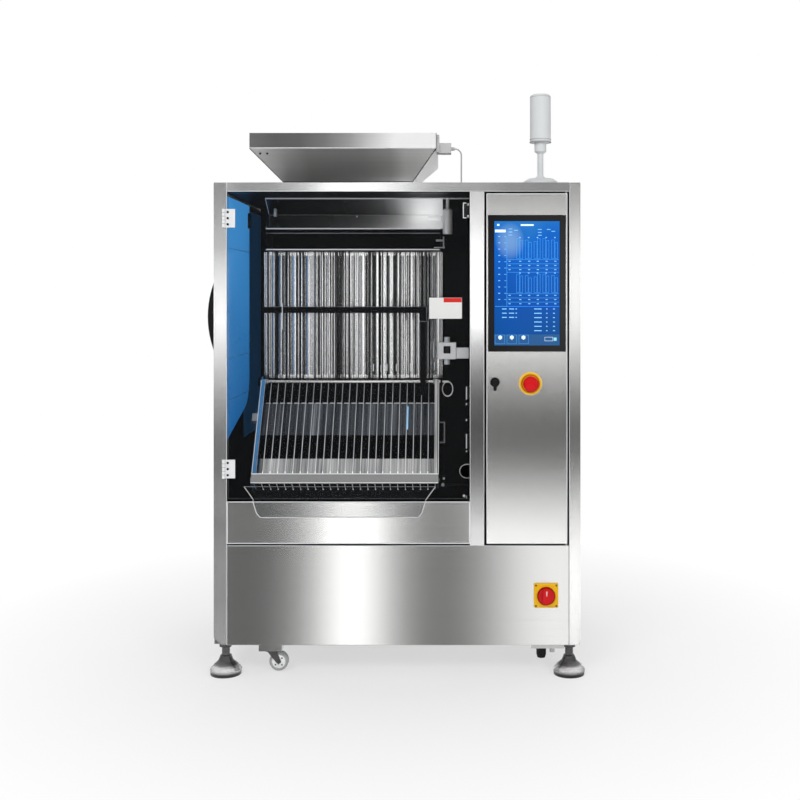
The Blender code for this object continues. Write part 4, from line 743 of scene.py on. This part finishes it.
def ring(place, radius, thick, turn=(0, 0, 0)):
    bpy.ops.mesh.primitive_torus_add(location=place, rotation=turn, major_radius=radius,
                                     minor_radius=thick, major_segments=48, minor_segments=8)
    return bpy.context.object


def wire(radius, *points):
    """A thin round wire along points."""
    curve = bpy.data.curves.new("wire", "CURVE")
    curve.dimensions = "3D"
    line = curve.splines.new("POLY")
    line.points.add(len(points) - 1)
    for knot, point in zip(line.points, points):
        knot.co = (*point, 1.0)
    curve.bevel_depth, curve.bevel_resolution, curve.use_fill_caps = radius, 1, True
    made = bpy.data.objects.new("wire", curve)
    bpy.context.scene.collection.objects.link(made)
    join([made])
    bpy.ops.object.convert(target="MESH")
    bpy.ops.object.mode_set(mode="EDIT")
    bpy.ops.mesh.select_all(action="SELECT")
    bpy.ops.mesh.remove_doubles(threshold=0.00001)
    bpy.ops.mesh.normals_make_consistent(inside=False)
    bpy.ops.object.mode_set(mode="OBJECT")
    return bpy.context.object


def along_x(radius, start, end, depth, z):
    """A wire from left to right."""
    return wire(radius, at(start, depth, z), at(end, depth, z))


def socket_screw(radius, height):
    """A cap screw that faces +Z, with an eased rim and a sunk socket."""
    screw = bar((0, 0, 0), (0, 0, height), radius, steps=18)
    bpy.ops.object.mode_set(mode="EDIT")
    form = bmesh.from_edit_mesh(screw.data)
    for face in form.faces:
        face.select_set(face.normal.z > 0.9)
    bmesh.update_edit_mesh(screw.data)
    bpy.ops.mesh.inset(thickness=radius * 0.16)
    bpy.ops.transform.translate(value=(0, 0, radius * 0.12))
    bpy.ops.mesh.inset(thickness=radius * 0.34)
    bpy.ops.mesh.extrude_region_move(TRANSFORM_OT_translate={"value": (0, 0, -height * 0.5)})
    bpy.ops.object.mode_set(mode="OBJECT")
    return screw


def screws(name, finish, radius, height, places, facing=(0, -1, 0), body="cabinet"):
    """Copies a cap screw to each place, turned to face one way, as one piece."""
    model = socket_screw(radius, height)
    twins = []
    for place in places:
        twin = bpy.data.objects.new(name, model.data.copy())
        bpy.context.scene.collection.objects.link(twin)
        twin.location = place
        twin.rotation_euler = Vector(facing).to_track_quat("Z", "Y").to_euler()
        twins.append(twin)
    bpy.data.objects.remove(model, do_unlink=True)
    bpy.context.view_layer.update()
    put(name, finish, twins, body)


# %% Helpers that stand for a node
def eased(name, finish, width=0.0012, segments=2):
    """Stands for a node with a copy whose sharp edges are rounded. Its flat faces stay flat."""
    piece = bpy.data.objects.new(name + "_eased", nodes[name].data.copy())
    bpy.context.scene.collection.objects.link(piece)
    join([piece])
    bpy.ops.object.mode_set(mode="EDIT")
    bpy.ops.mesh.select_all(action="SELECT")
    bpy.ops.mesh.remove_doubles(threshold=0.00001)
    bpy.ops.mesh.dissolve_limited(angle_limit=math.radians(1))
    bpy.ops.object.mode_set(mode="OBJECT")
    modify("BEVEL", width=width, segments=segments, limit_method="ANGLE",
           angle_limit=math.radians(40), use_clamp_overlap=True)
    put(name + "_eased", finish, piece, BODY_OF[name], smooth=0)
    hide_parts(name)
    return piece


def refinish(piece, point, direction, finish):
    """Cuts a piece's faces at a plane and gives the side that it points to a second finish."""
    join([piece])
    bpy.ops.object.mode_set(mode="EDIT")
    bpy.ops.mesh.select_all(action="SELECT")
    bpy.ops.mesh.bisect(plane_co=point, plane_no=direction)
    bpy.ops.object.mode_set(mode="OBJECT")
    piece.data.materials.append(finish)
    for face in piece.data.polygons:
        if (face.center - Vector(point)).dot(Vector(direction)) > 0:
            face.material_index = 1
    bpy.ops.object.select_all(action="DESELECT")


print("helpers for slabs, bars, wires, screws and eased sheets")

# %% [markdown]
# ## Folded sheets
# Sheet metal has no razor edges: each fold has a small radius that catches a thin line of light.
# A copy of each plain sheet gets a narrow bevel and stands for the node.

# %% Eased sheets
STRIP_LEFT = RIGHT - 0.0305         # where the beam's sheet turns down along the right edge
LOWER_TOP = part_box("lower_housing")[1].z
CEILING_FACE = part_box("top_plate")[0].z + 0.0004

refinish(eased("front_frame", beam_steel_painted_light), (STRIP_LEFT, 0, 0), (1, 0, 0), upright_painted_lighter)
refinish(eased("front_fascia", sheet_across), (0, 0, LOWER_TOP), (0, 0, 1), middle_steel_painted_light)
refinish(eased("top_plate", sheet_plain), (0, 0, CEILING_FACE), (0, 0, -1), black_paint)
eased("sill_panel", sheet_sill)
eased("left_post", post_steel_painted_light, 0.0018)
eased("control_door", sheet_upright, 0.0014)
eased("screen_unit", black_gloss)
eased("switch_plate", yellow, 0.0008)
eased("hopper_sensor", grey_cast)
eased("sensor_block", pale_parts_and_highlights)
eased("crossbar", black_paint, segments=1)
print("eased sheets; the frame's strip and the post between the doors are brushed upright")

# %% [markdown]
# ## Screws and hinges
# Two bright hinges carry the clear door. Each leaf has three screws. The catch at the upper right
# has a bright rim and two screws, and one more screw sits near the door's lower corner.

# %% Hinge screws
def hinge_screws(node):
    low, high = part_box(node)
    middle = (low.z + high.z) / 2
    screws(node + "_screws", black_plastic, 0.0031, 0.0016,
           [(low.x + 0.0155, low.y + 0.0068, middle + step) for step in (-0.0165, 0.0, 0.0165)],
           body="front_door_leaf")
    x, y, gap = low.x + 0.0045, low.y + 0.0045, 0.0004
    put(node + "_knuckles", black_plastic,
        [bar((x, y, low.z + part * 0.01 - gap), (x, y, low.z + part * 0.01 + gap), 0.0047)
         for part in (1, 2, 3, 4)], "front_door_leaf")


def catch_trim():
    low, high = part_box("door_catch")
    edge, arm = 0.0012, 0.008
    left, front, back = low.x - edge, low.y - edge, low.y + edge
    put("door_catch_rim", white_plate,
        [slab((left, front, low.z), (low.x + edge, back, high.z)),
         slab((left, front, high.z - edge), (low.x + arm, back, high.z + edge)),
         slab((left, front, low.z - edge), (low.x + arm, back, low.z + edge))])
    screws("door_catch_screws", bright_steel, 0.0034, 0.002,
           [(high.x - 0.006, low.y, z) for z in (low.z + 0.004, high.z - 0.004)])


hinge_screws("front_hinge_upper")
hinge_screws("front_hinge_lower")
screws("door_screw", bright_steel, 0.0036, 0.002, [at_pixel(464, 495.5) - Vector((0, 0.0001, 0))],
       body="front_door_leaf")
catch_trim()
print("hinge, door and catch screws")

# %% [markdown]
# ## A plain plate on the clear door
# The real door carries a printed notice. A part in a library carries no words, so this is a blank
# white plate with a plain red band.

# %% Plate
def door_plate():
    face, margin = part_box("front_door")[0].y, 0.0006
    low, high = at_pixel(429.2, 318.7), at_pixel(461.9, 297.7)
    band_left = low.x + (high.x - low.x) * 0.44
    put("door_plate", white_plate,
        slab((low.x, face - 0.0012, low.z), (high.x, face - 0.0002, high.z), 0.0003),
        "front_door_leaf")
    put("door_plate_band", red_paint,
        slab((band_left, face - 0.0016, high.z - 0.0125),
             (high.x - margin, face - 0.0011, high.z - margin), 0.0002),
        "front_door_leaf")


door_plate()
print("plain plate")

# %% [markdown]
# ## The page on the screen
# The page shows two rows of charts, a table, a list and a strip of buttons. Each mark is a thin
# slip in front of the glass. Rows of short dashes stand where the page has figures.

# %% Charts on the screen
PAGE_LEFT, PAGE_TOP, PAGE_WIDTH, PAGE_HEIGHT = 65, 158, 280, 532    # in the page's own points


def on_screen(x, y):
    """The place on the glass of a point of the page."""
    low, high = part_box("display")
    return Vector((low.x + (high.x - low.x) * ((x - PAGE_LEFT) / PAGE_WIDTH), low.y,
                   high.z - (high.z - low.z) * ((y - PAGE_TOP) / PAGE_HEIGHT)))


def slips(name, finish, boxes, lift=0.0002):
    """Thin slips on the glass, from boxes of (left, top, right, foot) on the page."""
    made = []
    for left, top, right, foot in boxes:
        a, b = on_screen(left, foot), on_screen(right, top)
        bpy.ops.mesh.primitive_plane_add(size=1.0, location=((a.x + b.x) / 2, a.y, (a.z + b.z) / 2),
                                         rotation=(math.radians(90), 0, 0))
        bpy.context.object.scale = (b.x - a.x, b.z - a.z, 1)
        made.append(bpy.context.object)
    sheet = join(made)
    bpy.ops.object.transform_apply(location=True, rotation=True, scale=True)
    modify("SOLIDIFY", thickness=lift, offset=1.0)
    put(name, finish, sheet, "control_door_leaf", smooth=0)


def frame_of(left, top, right, foot, line=1.0):
    """The four sides of an outlined box."""
    return [(left, top, right, top + line), (left, foot - line, right, foot),
            (left, top, left + line, foot), (right - line, top, right, foot)]


def dash(x, y, width, height=3.5):
    return x, y, x + width, y + height


def chart_marks():
    lines, dashes = [], []
    for top, foot in ((232, 318), (384, 464)):
        for i in range(5):
            left = 160 + i * 37.5
            lines += frame_of(left, top + (i % 3) * 6, left + 13, foot)
            lines += frame_of(left + 15, top + ((i + 1) % 3) * 8, left + 27, foot)
            dashes.append(dash(left + 12, top - 6, 6, 4))
        for row in range(4):
            height = foot + 4 + row * 18
            lines.append((118, height, 342, height + 1.2))
            if row < 3:
                dashes += [dash(left, height + 6, 9, 3) for left in (126, 172, 210, 247, 285, 322)]
    lines += [(118, 226, 119.4, 522), (68, 522, 344, 523.6)]
    for i in range(11):
        dashes += [dash(82, 222 + i * 27, 8, 3), dash(108, 223 + i * 27, 8, 1.5)]
    for y in (532, 550, 568):
        dashes += [dash(98, y, 20), dash(128, y, 22), dash(156, y, 6)]
    for i in range(6):
        y = 532 + i * 18.6
        dashes += [dash(236, y, 32), dash(287, y, 6), dash(317, y, 8)]
    dashes += [dash(x, y, 16, 2.5) for x, y in (
        (126, 190), (126, 203), (126, 216), (150, 196), (252, 192), (252, 205), (252, 217),
        (290, 192), (310, 200))]
    return lines, dashes


page_lines, page_dashes = chart_marks()
slips("page_lines", chart_pale, page_lines)
slips("page_dashes", chart_soft, page_dashes)
slips("page_white", chart_white,
      [(68, 194, 114, 206), (178, 171, 234, 178), (77, 170, 87, 178)], 0.0003)
slips("page_foot_strip", chart_strip, [(65, 643, 345, 690)], 0.0001)
signs = [sign for x in (82, 132, 182) for sign in (dash(x, 650, 16, 11), dash(x + 5, 647, 6, 18))]
slips("page_buttons", chart_white, signs + frame_of(281, 654, 316, 671, 1.2), 0.0003)
slips("page_button_frames", chart_pale,
      [side for x in (68, 119, 170) for side in frame_of(x, 645, x + 42, 683)], 0.0003)
slips("page_dot", chart_teal, [(319, 656, 332, 670)], 0.0003)
print(len(page_lines) + len(page_dashes), "marks on the screen")

# %% [markdown]
# ## Bright edges of the feeder
# A folded sheet shows each fold and hem as a thin bright line of light. A near-white round wire of
# about a millimetre laid along the fold paints that line of highlight from every side.

# %% Feeder edges and its small parts
bank_low, bank_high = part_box("tube_bank")
LANE_MIDDLE, LANE_HALF, LANE_PITCH = (bank_low.x + bank_high.x) / 2, 0.246, 0.0205


def feeder_hems():
    panel_low, panel_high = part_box("feeder_panel")
    tray_low, tray_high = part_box("feeder_tray")
    left, right, ceiling = panel_low.x + 0.001, tray_high.x, panel_high.z
    crease_depth, crease, foot = 0.2540, 1.2640, 1.2210     # of the folded panel
    put("feeder_hems", pale_parts_and_highlights,
        [along_x(0.0021, left, panel_high.x - 0.002, 0.1850, ceiling - 0.0022),
         along_x(0.0019, left, right, 0.1990, foot),
         along_x(0.0019, left, right - 0.002, 0.1990, tray_low.z + 0.0035),
         wire(0.0010, *[at(panel_low.x + 0.0006, depth, z) for depth, z in (
             (0.1865, ceiling - 0.002), (crease_depth + 0.002, crease), (0.2005, foot + 0.0008))])])
    put("feeder_crease", dim_edge, [along_x(0.0008, left, right, crease_depth, crease),
                                    along_x(0.0008, left, right, 0.1992, tray_high.z - 0.0015)])


def feeder_bits():
    screws("feeder_screws", bright_steel, 0.0042, 0.0025,
           [at_pixel(357, 217, 0.2475), at_pixel(286, 218, 0.2455)], (0, -0.60, 0.80))
    low, high = at_pixel(428, 221.5, 0.232), at_pixel(441, 216.5, 0.232)
    put("feeder_bracket", pale_parts_and_highlights, slab(low, at(high.x, 0.2475, high.z), 0.0008))
    low, high = at_pixel(273.8, 216.5, 0.2), at_pixel(276.2, 208.5, 0.2)
    put("feeder_stop", dim_edge, slab(low, at(high.x, 0.222, high.z), 0.001))
    put("tray_clip", dim_edge,
        [bar(at_pixel(434, 247.5, 0.198), at_pixel(445, 247.5, 0.198), 0.0016, steps=10),
         bar(at_pixel(436, 240.5, 0.1985), at_pixel(443.6, 240.5, 0.1985), 0.0030, 0.0008, 12),
         bar(at_pixel(443.6, 236.5, 0.1985), at_pixel(443.6, 248.5, 0.1985), 0.0022, 0.0006, 12)])


feeder_hems()
feeder_bits()
print("feeder hems and its bracket, clip and screws")

# %% [markdown]
# ## Bright folds round the doors
# Each door and panel ends in a fold that catches the light, so every dark gap on the front has a
# thin bright line beside it. Near-white wires paint these lines of highlight.

# %% Folds on the front
def fold_lines(node, radius, hidden=0.0):
    """Painted highlight lines round a flat sheet's front, whose hidden flanges reach past its top
    and foot.
    """
    low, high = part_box(node)
    a, b = low.x + 0.0009, high.x - 0.0009
    c, d = low.z + hidden + 0.0009, high.z - hidden - 0.0009
    put(node + "_fold_highlights", pale_parts_and_highlights,
        [wire(radius, *[Vector((x, low.y, z)) for x, z in side])
         for side in (((a, c), (a, d)), ((a, d), (b, d)), ((b, c), (b, d)), ((a, c), (b, c)))],
        BODY_OF[node])


def front_lines(node, *paths):
    """Painted highlight lines along paths of (x, z) on the cabinet's front."""
    put(node + "_fold_highlights", pale_parts_and_highlights,
        [wire(0.0008, *[at(x, 0.0, z) for x, z in path]) for path in paths])


OPENING_LEFT = -0.4555              # the opening's left edge, inside the left post
POST_LEFT, POST_RIGHT = 0.1996, 0.2369      # the post between the doors
STRIP_LINE, BEAM_LINE = 0.4676, 1.3099      # the strip's inner edge and the beam's lower edge
FOOT_LINE = UNDERSIDE + 0.0015
ledge, fascia_top = LOWER_TOP - 0.0007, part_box("front_fascia")[1].z - 0.001
fold_lines("sill_panel", 0.0012)
fold_lines("control_door", 0.0010, hidden=0.0047)
front_lines("front_fascia", ((OPENING_LEFT, ledge), (POST_LEFT, ledge), (POST_LEFT, fascia_top)),
            ((POST_RIGHT, fascia_top), (POST_RIGHT, ledge), (STRIP_LINE - 0.0020, ledge)))
front_lines("left_post", ((OPENING_LEFT - 0.0022, FOOT_LINE), (OPENING_LEFT - 0.0022, TOP - 0.001)))
front_lines("front_frame",
            ((OPENING_LEFT, BEAM_LINE), (STRIP_LINE, BEAM_LINE), (STRIP_LINE, FOOT_LINE)))
print("folds round the doors and panels")

# %% [markdown]
# ## Behind and before the tubes
# The slots between the tubes show a plate painted with streaks of reflection, not the black plate.
# Small bright wires at the foot of some tubes paint glints there. A thin rod stands before the
# crossbar.

# %% Tubes' back, foot glints and the crossbar's rod
def tube_parts():
    inset, header = 0.0004, 0.0104
    put("tube_back_painted_streaks", channel_back_painted_streaks,
        slab(at(LANE_MIDDLE - LANE_HALF + inset, 0.3015, bank_low.z + header),
             at(LANE_MIDDLE + LANE_HALF - inset, 0.3055, bank_high.z - header), 0.0004, 1))
    put("tube_foot_glints", pale_parts_and_highlights,
        [wire(0.0013, at_pixel(px, foot, 0.2905), at_pixel(px, top, 0.2905)) for px, top, foot in (
            (363.5, 366, 371), (373.5, 364, 371), (381.2, 365, 372), (387.0, 364, 371),
            (396.5, 364, 371), (410.4, 363, 371), (434.6, 362, 370))])


def crossbar_parts():
    put("crossbar_rod", pale_parts_and_highlights,
        wire(0.0012, at_pixel(282.4, 329.5, 0.2750), at_pixel(282.4, 303.5, 0.2750)))
    low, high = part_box("crossbar")
    edge, tip, upper = high.x - 0.0003, low.y - 0.0002, high.z
    put("crossbar_arm_edges", dim_edge,
        [wire(0.0006, *[Vector((x, tip, z)) for x, z in (
            (edge, upper), (edge, upper - 0.040), (edge - 0.0195, upper - 0.040))]),
         along_x(0.0005, bank_low.x + 0.002, edge - 0.022, 0.2757, upper - 0.0008)])


tube_parts()
crossbar_parts()
print("tube back, foot_glints and rod")

# %% [markdown]
# ## The chute's bright lines
# The chute's floor starts at a bright hem, cut by the lane plates into one dash a lane. Bright hems
# also run along its side plates, along the steel band and above and below its bottom bar.
# Near-white wires paint these hems' highlights. White wires paint the highlight along the lane
# plates' feet, and glowing dashes at the plates' feet and tips paint their glints.

# %% Chute hems
CHUTE_HALF, CHUTE_END = 0.2545, 0.3198
LANES = [LANE_PITCH * i - LANE_HALF for i in range(25)]


def chute_lines(name, finish, lines):
    """Lines on the chute, each as its radius and two places."""
    put(name, finish,
        [wire(radius, on_chute(*start), on_chute(*end)) for radius, start, end in lines],
        "discharge_chute")


def chute_hems():
    bar_top, bar_foot, side = CHUTE_END - 0.0268, CHUTE_END - 0.0008, CHUTE_HALF - 0.0004
    chute_lines("chute_hems", pale_parts_and_highlights, [
        (0.0014, (-CHUTE_HALF, -0.0138, bar_top), (CHUTE_HALF, -0.0138, bar_top)),
        (0.0011, (-CHUTE_HALF, -0.0138, bar_foot), (CHUTE_HALF, -0.0138, bar_foot)),
        (0.0012, (-0.2500, 0.0300, 0.2766), (0.2500, 0.0300, 0.2766)),
        (0.0009, (-side, -0.0118, 0.002), (-side, -0.0118, 0.294)),
        (0.0009, (side, -0.0118, 0.002), (side, -0.0118, 0.294))])
    chute_lines("chute_lane_hems", pale_parts_and_highlights, [
        (0.0011, (x + 0.0030, 0.0298, 0.0540), (x + 0.0175, 0.0298, 0.0540)) for x in LANES[:-1]])
    plates = LANES[1:-1]
    chute_lines("chute_lane_glints", glint_painted_glow,
                [(0.0015, (x, 0.0270, 0.3196), (x, 0.0298, 0.3196)) for x in plates])
    chute_lines("chute_lane_feet", white_plate,
                [(0.0007, (x, -0.0060, 0.3199), (x, 0.0290, 0.3199)) for x in plates])
    # A glowing blue line on the lane floor paints a blue reflection.
    chute_lines("lane_painted_blue_glint", chart_soft,
                [(0.0016, (0.1655, 0.0280, 0.066), (0.1655, 0.0280, 0.138))])
    chute_lines("chute_lane_tips", glint_painted_glow,
                [(0.0010, (x, -0.0086, 0.2835), (x, -0.0094, 0.2922)) for x in plates])


chute_hems()
put("rod_collars", dim_edge,
    [bar(ROD + Vector((x - 0.003, 0, 0)), ROD + Vector((x + 0.003, 0, 0)), 0.0078, 0.001, 20)
     for x in (-0.2405, 0.2405)])
print(len(LANES) - 1, "lanes with a hem and a glint")

# %% [markdown]
# ## Edges of the clear lip
# The lip is clear, so what the eye finds is its cut edge: a white line of painted highlight down
# each side and round its foot.

# %% Lip edges
def lip_edges():
    low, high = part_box("discharge_lip")
    middle, half = (low.x + high.x) / 2, (high.x - low.x) / 2
    bend, face = high.z - 0.0355, -0.0028
    rows = [(half, 0.0166, high.z), (half - 0.0265, 0.0116, bend),
            (half - 0.0265, face, bend - 0.001), (half - 0.0365, face, low.z + 0.012),
            (half - 0.0465, face, low.z)]
    left, right = [[at(middle + sign * (x - 0.0005), depth, z) for x, depth, z in rows]
                   for sign in (-1, 1)]
    put("lip_edges", pale_parts_and_highlights, wire(0.0009, *left, *right[::-1]))
    put("lip_top_edge", dim_edge, wire(0.0006, left[0], right[0]))


lip_edges()
print("lip edges")

# %% [markdown]
# ## Hopper hems and lamp rings
# The hopper's rim has a bright hem at its foot, a near-white wire that paints a line of highlight,
# and its seams are dark lines. Two small screws sit at the left. The signal lamp has a cap line at
# the top and a double ring above its socket.

# %% Hopper and lamp
def hopper_trim():
    low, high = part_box("hopper")
    front, middle = low.y, (low.x + high.x) / 2
    rim_foot = high.z - 0.0415
    neck, neck_front = rim_foot - 0.0775, front + 0.150
    neck_left, neck_right = middle - 0.1875, middle + 0.1875
    put("hopper_hems", pale_parts_and_highlights,
        wire(0.0014, *[Vector((x, front - 0.0004, rim_foot)) for x in (low.x, high.x)]))
    put("hopper_seams", dark_steel, [
        wire(0.0014, Vector((high.x, front, rim_foot - 0.001)),
             Vector((neck_right, neck_front, neck))),
        wire(0.0009, Vector((low.x, front, rim_foot - 0.001)),
             Vector((neck_left, neck_front, neck))),
        wire(0.0013, *[Vector((x, neck_front - 0.0005, neck)) for x in (neck_left, neck_right)]),
        wire(0.0008, *[Vector((high.x, front - 0.0002, z)) for z in (rim_foot, high.z)])])
    screws("hopper_screws", black_plastic, 0.0030, 0.0018,
           [at_pixel(px, 153.4, 0.0813) for px in (260.3, 267.4)], (0, -0.459, -0.888))


def lamp_rings():
    low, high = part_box("lamp")
    x, y, radius = (low.x + high.x) / 2, (low.y + high.y) / 2, (high.x - low.x) / 2
    put("lamp_rings", cable_sheath,
        [ring((x, y, z), radius + out, thick) for z, out, thick in (
            (high.z - 0.0075, -0.0006, 0.0009), (low.z + 0.0085, 0.0002, 0.0009),
            (low.z + 0.0010, 0.0002, 0.0013))])


hopper_trim()
lamp_rings()
print("hopper hems, seams and screws, and three rings on the lamp")

# %% [markdown]
# ## Controls
# The emergency stop sits in a collar with an amber groove and a pale rim: an amber ring paints the
# shade in the groove, and a cream ring paints the highlight on the rim. A dark red ring paints the
# shade in the groove of its head and round the switch's knob. The key lock has a steel ring. The
# main switch is screwed down at its four corners.

# %% Rings, slots and screws of the controls
def face_ring(name, finish, x, y, z, radius, thick, body):
    put(name, finish, ring((x, y, z), radius, thick, (math.radians(90), 0, 0)), body)


def controls():
    low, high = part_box("stop_collar")
    x, z = (low.x + high.x) / 2, (low.z + high.z) / 2
    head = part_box("stop_button")[0].y
    face_ring("stop_groove", amber, x, low.y + 0.0002, z, 0.0236, 0.0018,
              "control_door_leaf")
    face_ring("stop_rim", cream, x, low.y + 0.0022, z, 0.0302, 0.0011,
              "control_door_leaf")
    face_ring("stop_head_groove", red_groove_painted_shade, x, head + 0.0025, z, 0.0150, 0.0007,
              "stop_head")
    low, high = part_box("key_lock")
    face_ring("lock_ring", dim_edge, (low.x + high.x) / 2, high.y - 0.0055, high.z - 0.0135,
              0.0134, 0.0009, "key_plug")
    low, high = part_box("switch_plate")
    inset = 0.0055
    screws("switch_screws", dark_steel, 0.0026, 0.0016, [
        (x, low.y, z) for x in (low.x + inset, high.x - inset)
        for z in (low.z + inset, high.z - inset)])
    knob_low, knob_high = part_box("switch_knob")
    face_ring("switch_ring", red_groove_painted_shade, (low.x + high.x) / 2, knob_high.y - 0.0060,
              (low.z + high.z) / 2, 0.0237, 0.0009, "switch_grip")
    knob = Vector(((knob_low.x + knob_high.x) / 2, knob_low.y, (knob_low.z + knob_high.z) / 2))
    put("switch_pointer", white_plate,
        slab(knob + Vector((-0.0013, -0.0003, 0.004)),
             knob + Vector((0.0013, 0.0006, 0.017)), 0.0004),
        "switch_grip")


controls()
print("rings, slots and screws of the controls")

# %% [markdown]
# ## Sensor block and the small parts on the walls
# The sensor block has a dark window. The partition carries small latches, each with a bright edge,
# a wire loop and an arm with two knobs. The side door has a dark lining, whose faint navy glow is
# painted blue light, and a clip, and seams cross its pane.

# %% Block, latches, lining and seams
def sensor_window():
    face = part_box("sensor_block")[0].y
    low, high = at_pixel(443.5, 353.5, 0.25), at_pixel(450.5, 346, 0.25)
    put("sensor_window", black_gloss,
        slab((low.x, face - 0.0008, low.z), (high.x, face + 0.0006, high.z), 0.0003))


def wall_latches(wall):
    backs, fronts = [], []
    for top, foot in ((386.5, 399.5), (403, 405), (419, 421), (434, 448.5), (450.5, 452),
                      (495.5, 498)):
        high, low = at_pixel(466, top, 0.10).z, at_pixel(466, foot, 0.10).z
        backs.append(slab(at(wall - 0.0105, 0.100, low), at(wall, 0.112, high), 0.0006, 1))
        fronts.append(slab(at(wall - 0.0112, 0.0985, low), at(wall - 0.0080, 0.1005, high),
                           0.0004, 1))
    put("wall_latches", black_plastic, backs)
    put("wall_latch_edges", pale_parts_and_highlights, fronts)


def wall_parts(wall):
    centre, radius = at_pixel(466.5, 471, 0.10), 0.0190
    turns = [math.radians(90 + 180 * i / 14) for i in range(15)]
    loop = [centre + radius * Vector((math.cos(turn), 0, math.sin(turn))) for turn in turns]
    upper, lower = [Vector((wall, point.y, point.z)) for point in (loop[0], loop[-1])]
    put("wall_loop", pale_parts_and_highlights, wire(0.0011, upper, *loop, lower))
    knob, right = at_pixel(443, 484.5, 0.20), 0.0025
    put("chute_stop_arm", black_plastic,
        [bar(knob, Vector((wall, knob.y, knob.z)), 0.0022, steps=10),
         bar(knob + Vector((right, 0, -0.006)), knob + Vector((right, 0, 0.040)), 0.0019,
             steps=10)])
    put("chute_stop_knobs", pale_parts_and_highlights,
        [bar(knob + Vector((0, -0.006, 0)), knob + Vector((0, 0.004, 0)), 0.0046, 0.0012, 18),
         bar(knob + Vector((right, -0.003, 0.018)), knob + Vector((right, 0.002, 0.018)),
             0.0034, 0.0008, 14)])


def side_door_parts():
    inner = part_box("side_door")[0].x + 0.015
    put("side_door_lining", navy_painted_glow,
        slab(at(inner, 0.362, 0.60), at(inner + 0.0012, 0.720, TOP - 0.045), 0.0004, 1),
        "side_door_leaf")
    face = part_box("side_window")[1].x + 0.0002
    put("side_window_seams", seam_blue,
        [wire(0.0007, at(face, 0.016, z), at(face, 0.344, z)) for z in (1.158, 0.856, 0.742)],
        "side_door_leaf")
    low, high = at_pixel(249, 228.5, 0.33).z, at_pixel(249, 213.5, 0.33).z
    put("side_window_clip", black_plastic,
        slab(at(face - 0.0012, 0.322, low), at(face + 0.006, 0.340, high), 0.001),
        "side_door_leaf")


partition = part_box("partition_wall")[0].x
sensor_window()
wall_latches(partition)
wall_parts(partition)
side_door_parts()
print("wall latches, door lining and seams")

# %% [markdown]
# ## Feet, casters and the underside
# Each levelling foot has a lock nut under the housing and a hexagon on its stem. The casters have
# a hub plate with four dots round a dark centre.

# %% Nuts, hubs and pads
def foot_nuts(node):
    low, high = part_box(node)
    x, y = (low.x + high.x) / 2, (low.y + high.y) / 2
    put(node + "_nuts", dark_steel,
        [bar((x, y, z - half), (x, y, z + half), radius, radius * 0.09, 6)
         for z, radius, half in ((high.z - 0.0055, 0.0185, 0.005), (0.0460, 0.0165, 0.0055))])


def hub(node, body):
    """A steel plate with four dark dots and a dark centre on each side of a caster's wheel."""
    low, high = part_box(node)
    centre, size = (low + high) / 2, high - low
    x, y = Vector((1, 0, 0)), Vector((0, 1, 0))
    axis, across = (x, y) if size.x < size.y else (y, x)
    half = min(size.x, size.y) / 2
    plates, dots = [], []
    for sign in (-1, 1):
        face = centre + axis * sign * (half - 0.0004)
        plates.append(bar(face, face + axis * sign * 0.0010, 0.0185, 0.0004, 32))
        dots.append(bar(face, face + axis * sign * 0.0016, 0.0062, 0.0004, 20))
        for turn in (45, 135, 225, 315):
            turn = math.radians(turn)
            dot = face + (across * math.cos(turn) + Vector((0, 0, math.sin(turn)))) * 0.0128
            dots.append(bar(dot, dot + axis * sign * 0.0014, 0.0021, 0.0, 12))
    put(node + "_plate", pale_parts_and_highlights, plates, body)
    put(node + "_dots", black_plastic, dots, body)


for corner in CORNERS:
    foot_nuts("foot_" + corner)
for corner in CASTERS:
    hub("caster_wheel_" + corner, "wheel_" + corner)
put("underside_pads", black_rubber,
    [slab(at(at_pixel(start, 646, 0.03).x, 0.020, UNDERSIDE - 0.0045),
          at(at_pixel(end, 646, 0.03).x, 0.060, UNDERSIDE + 0.0005), 0.001)
     for start, end in ((246, 255.5), (451, 478))])
print("foot nuts, hubs and pads")

# %% [markdown]
# ## Screws on the sides that the photograph doesn't show
# The right side and the back repeat what the front shows: plain brushed sheets, held by a few cap
# screws near their edges.

# %% Panel screws
def panel_screws(node, facing):
    low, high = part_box(node)
    inset, sunk = 0.03, 0.0002
    rows = [low.z + inset, (low.z + high.z) / 2, high.z - inset]
    if facing[0]:
        places = [(high.x - sunk, y, z) for y in (low.y + inset, high.y - inset) for z in rows]
    else:
        columns = (low.x + inset, (low.x + high.x) / 2, high.x - inset)
        places = [(x, high.y - sunk, z) for x in columns for z in rows]
    screws(node + "_screws", bright_steel, 0.0055, 0.003, places, facing)
    return len(places)


print(panel_screws("right_side_panel", (1, 0, 0)) + panel_screws("back_panel", (0, 1, 0)),
      "panel screws")
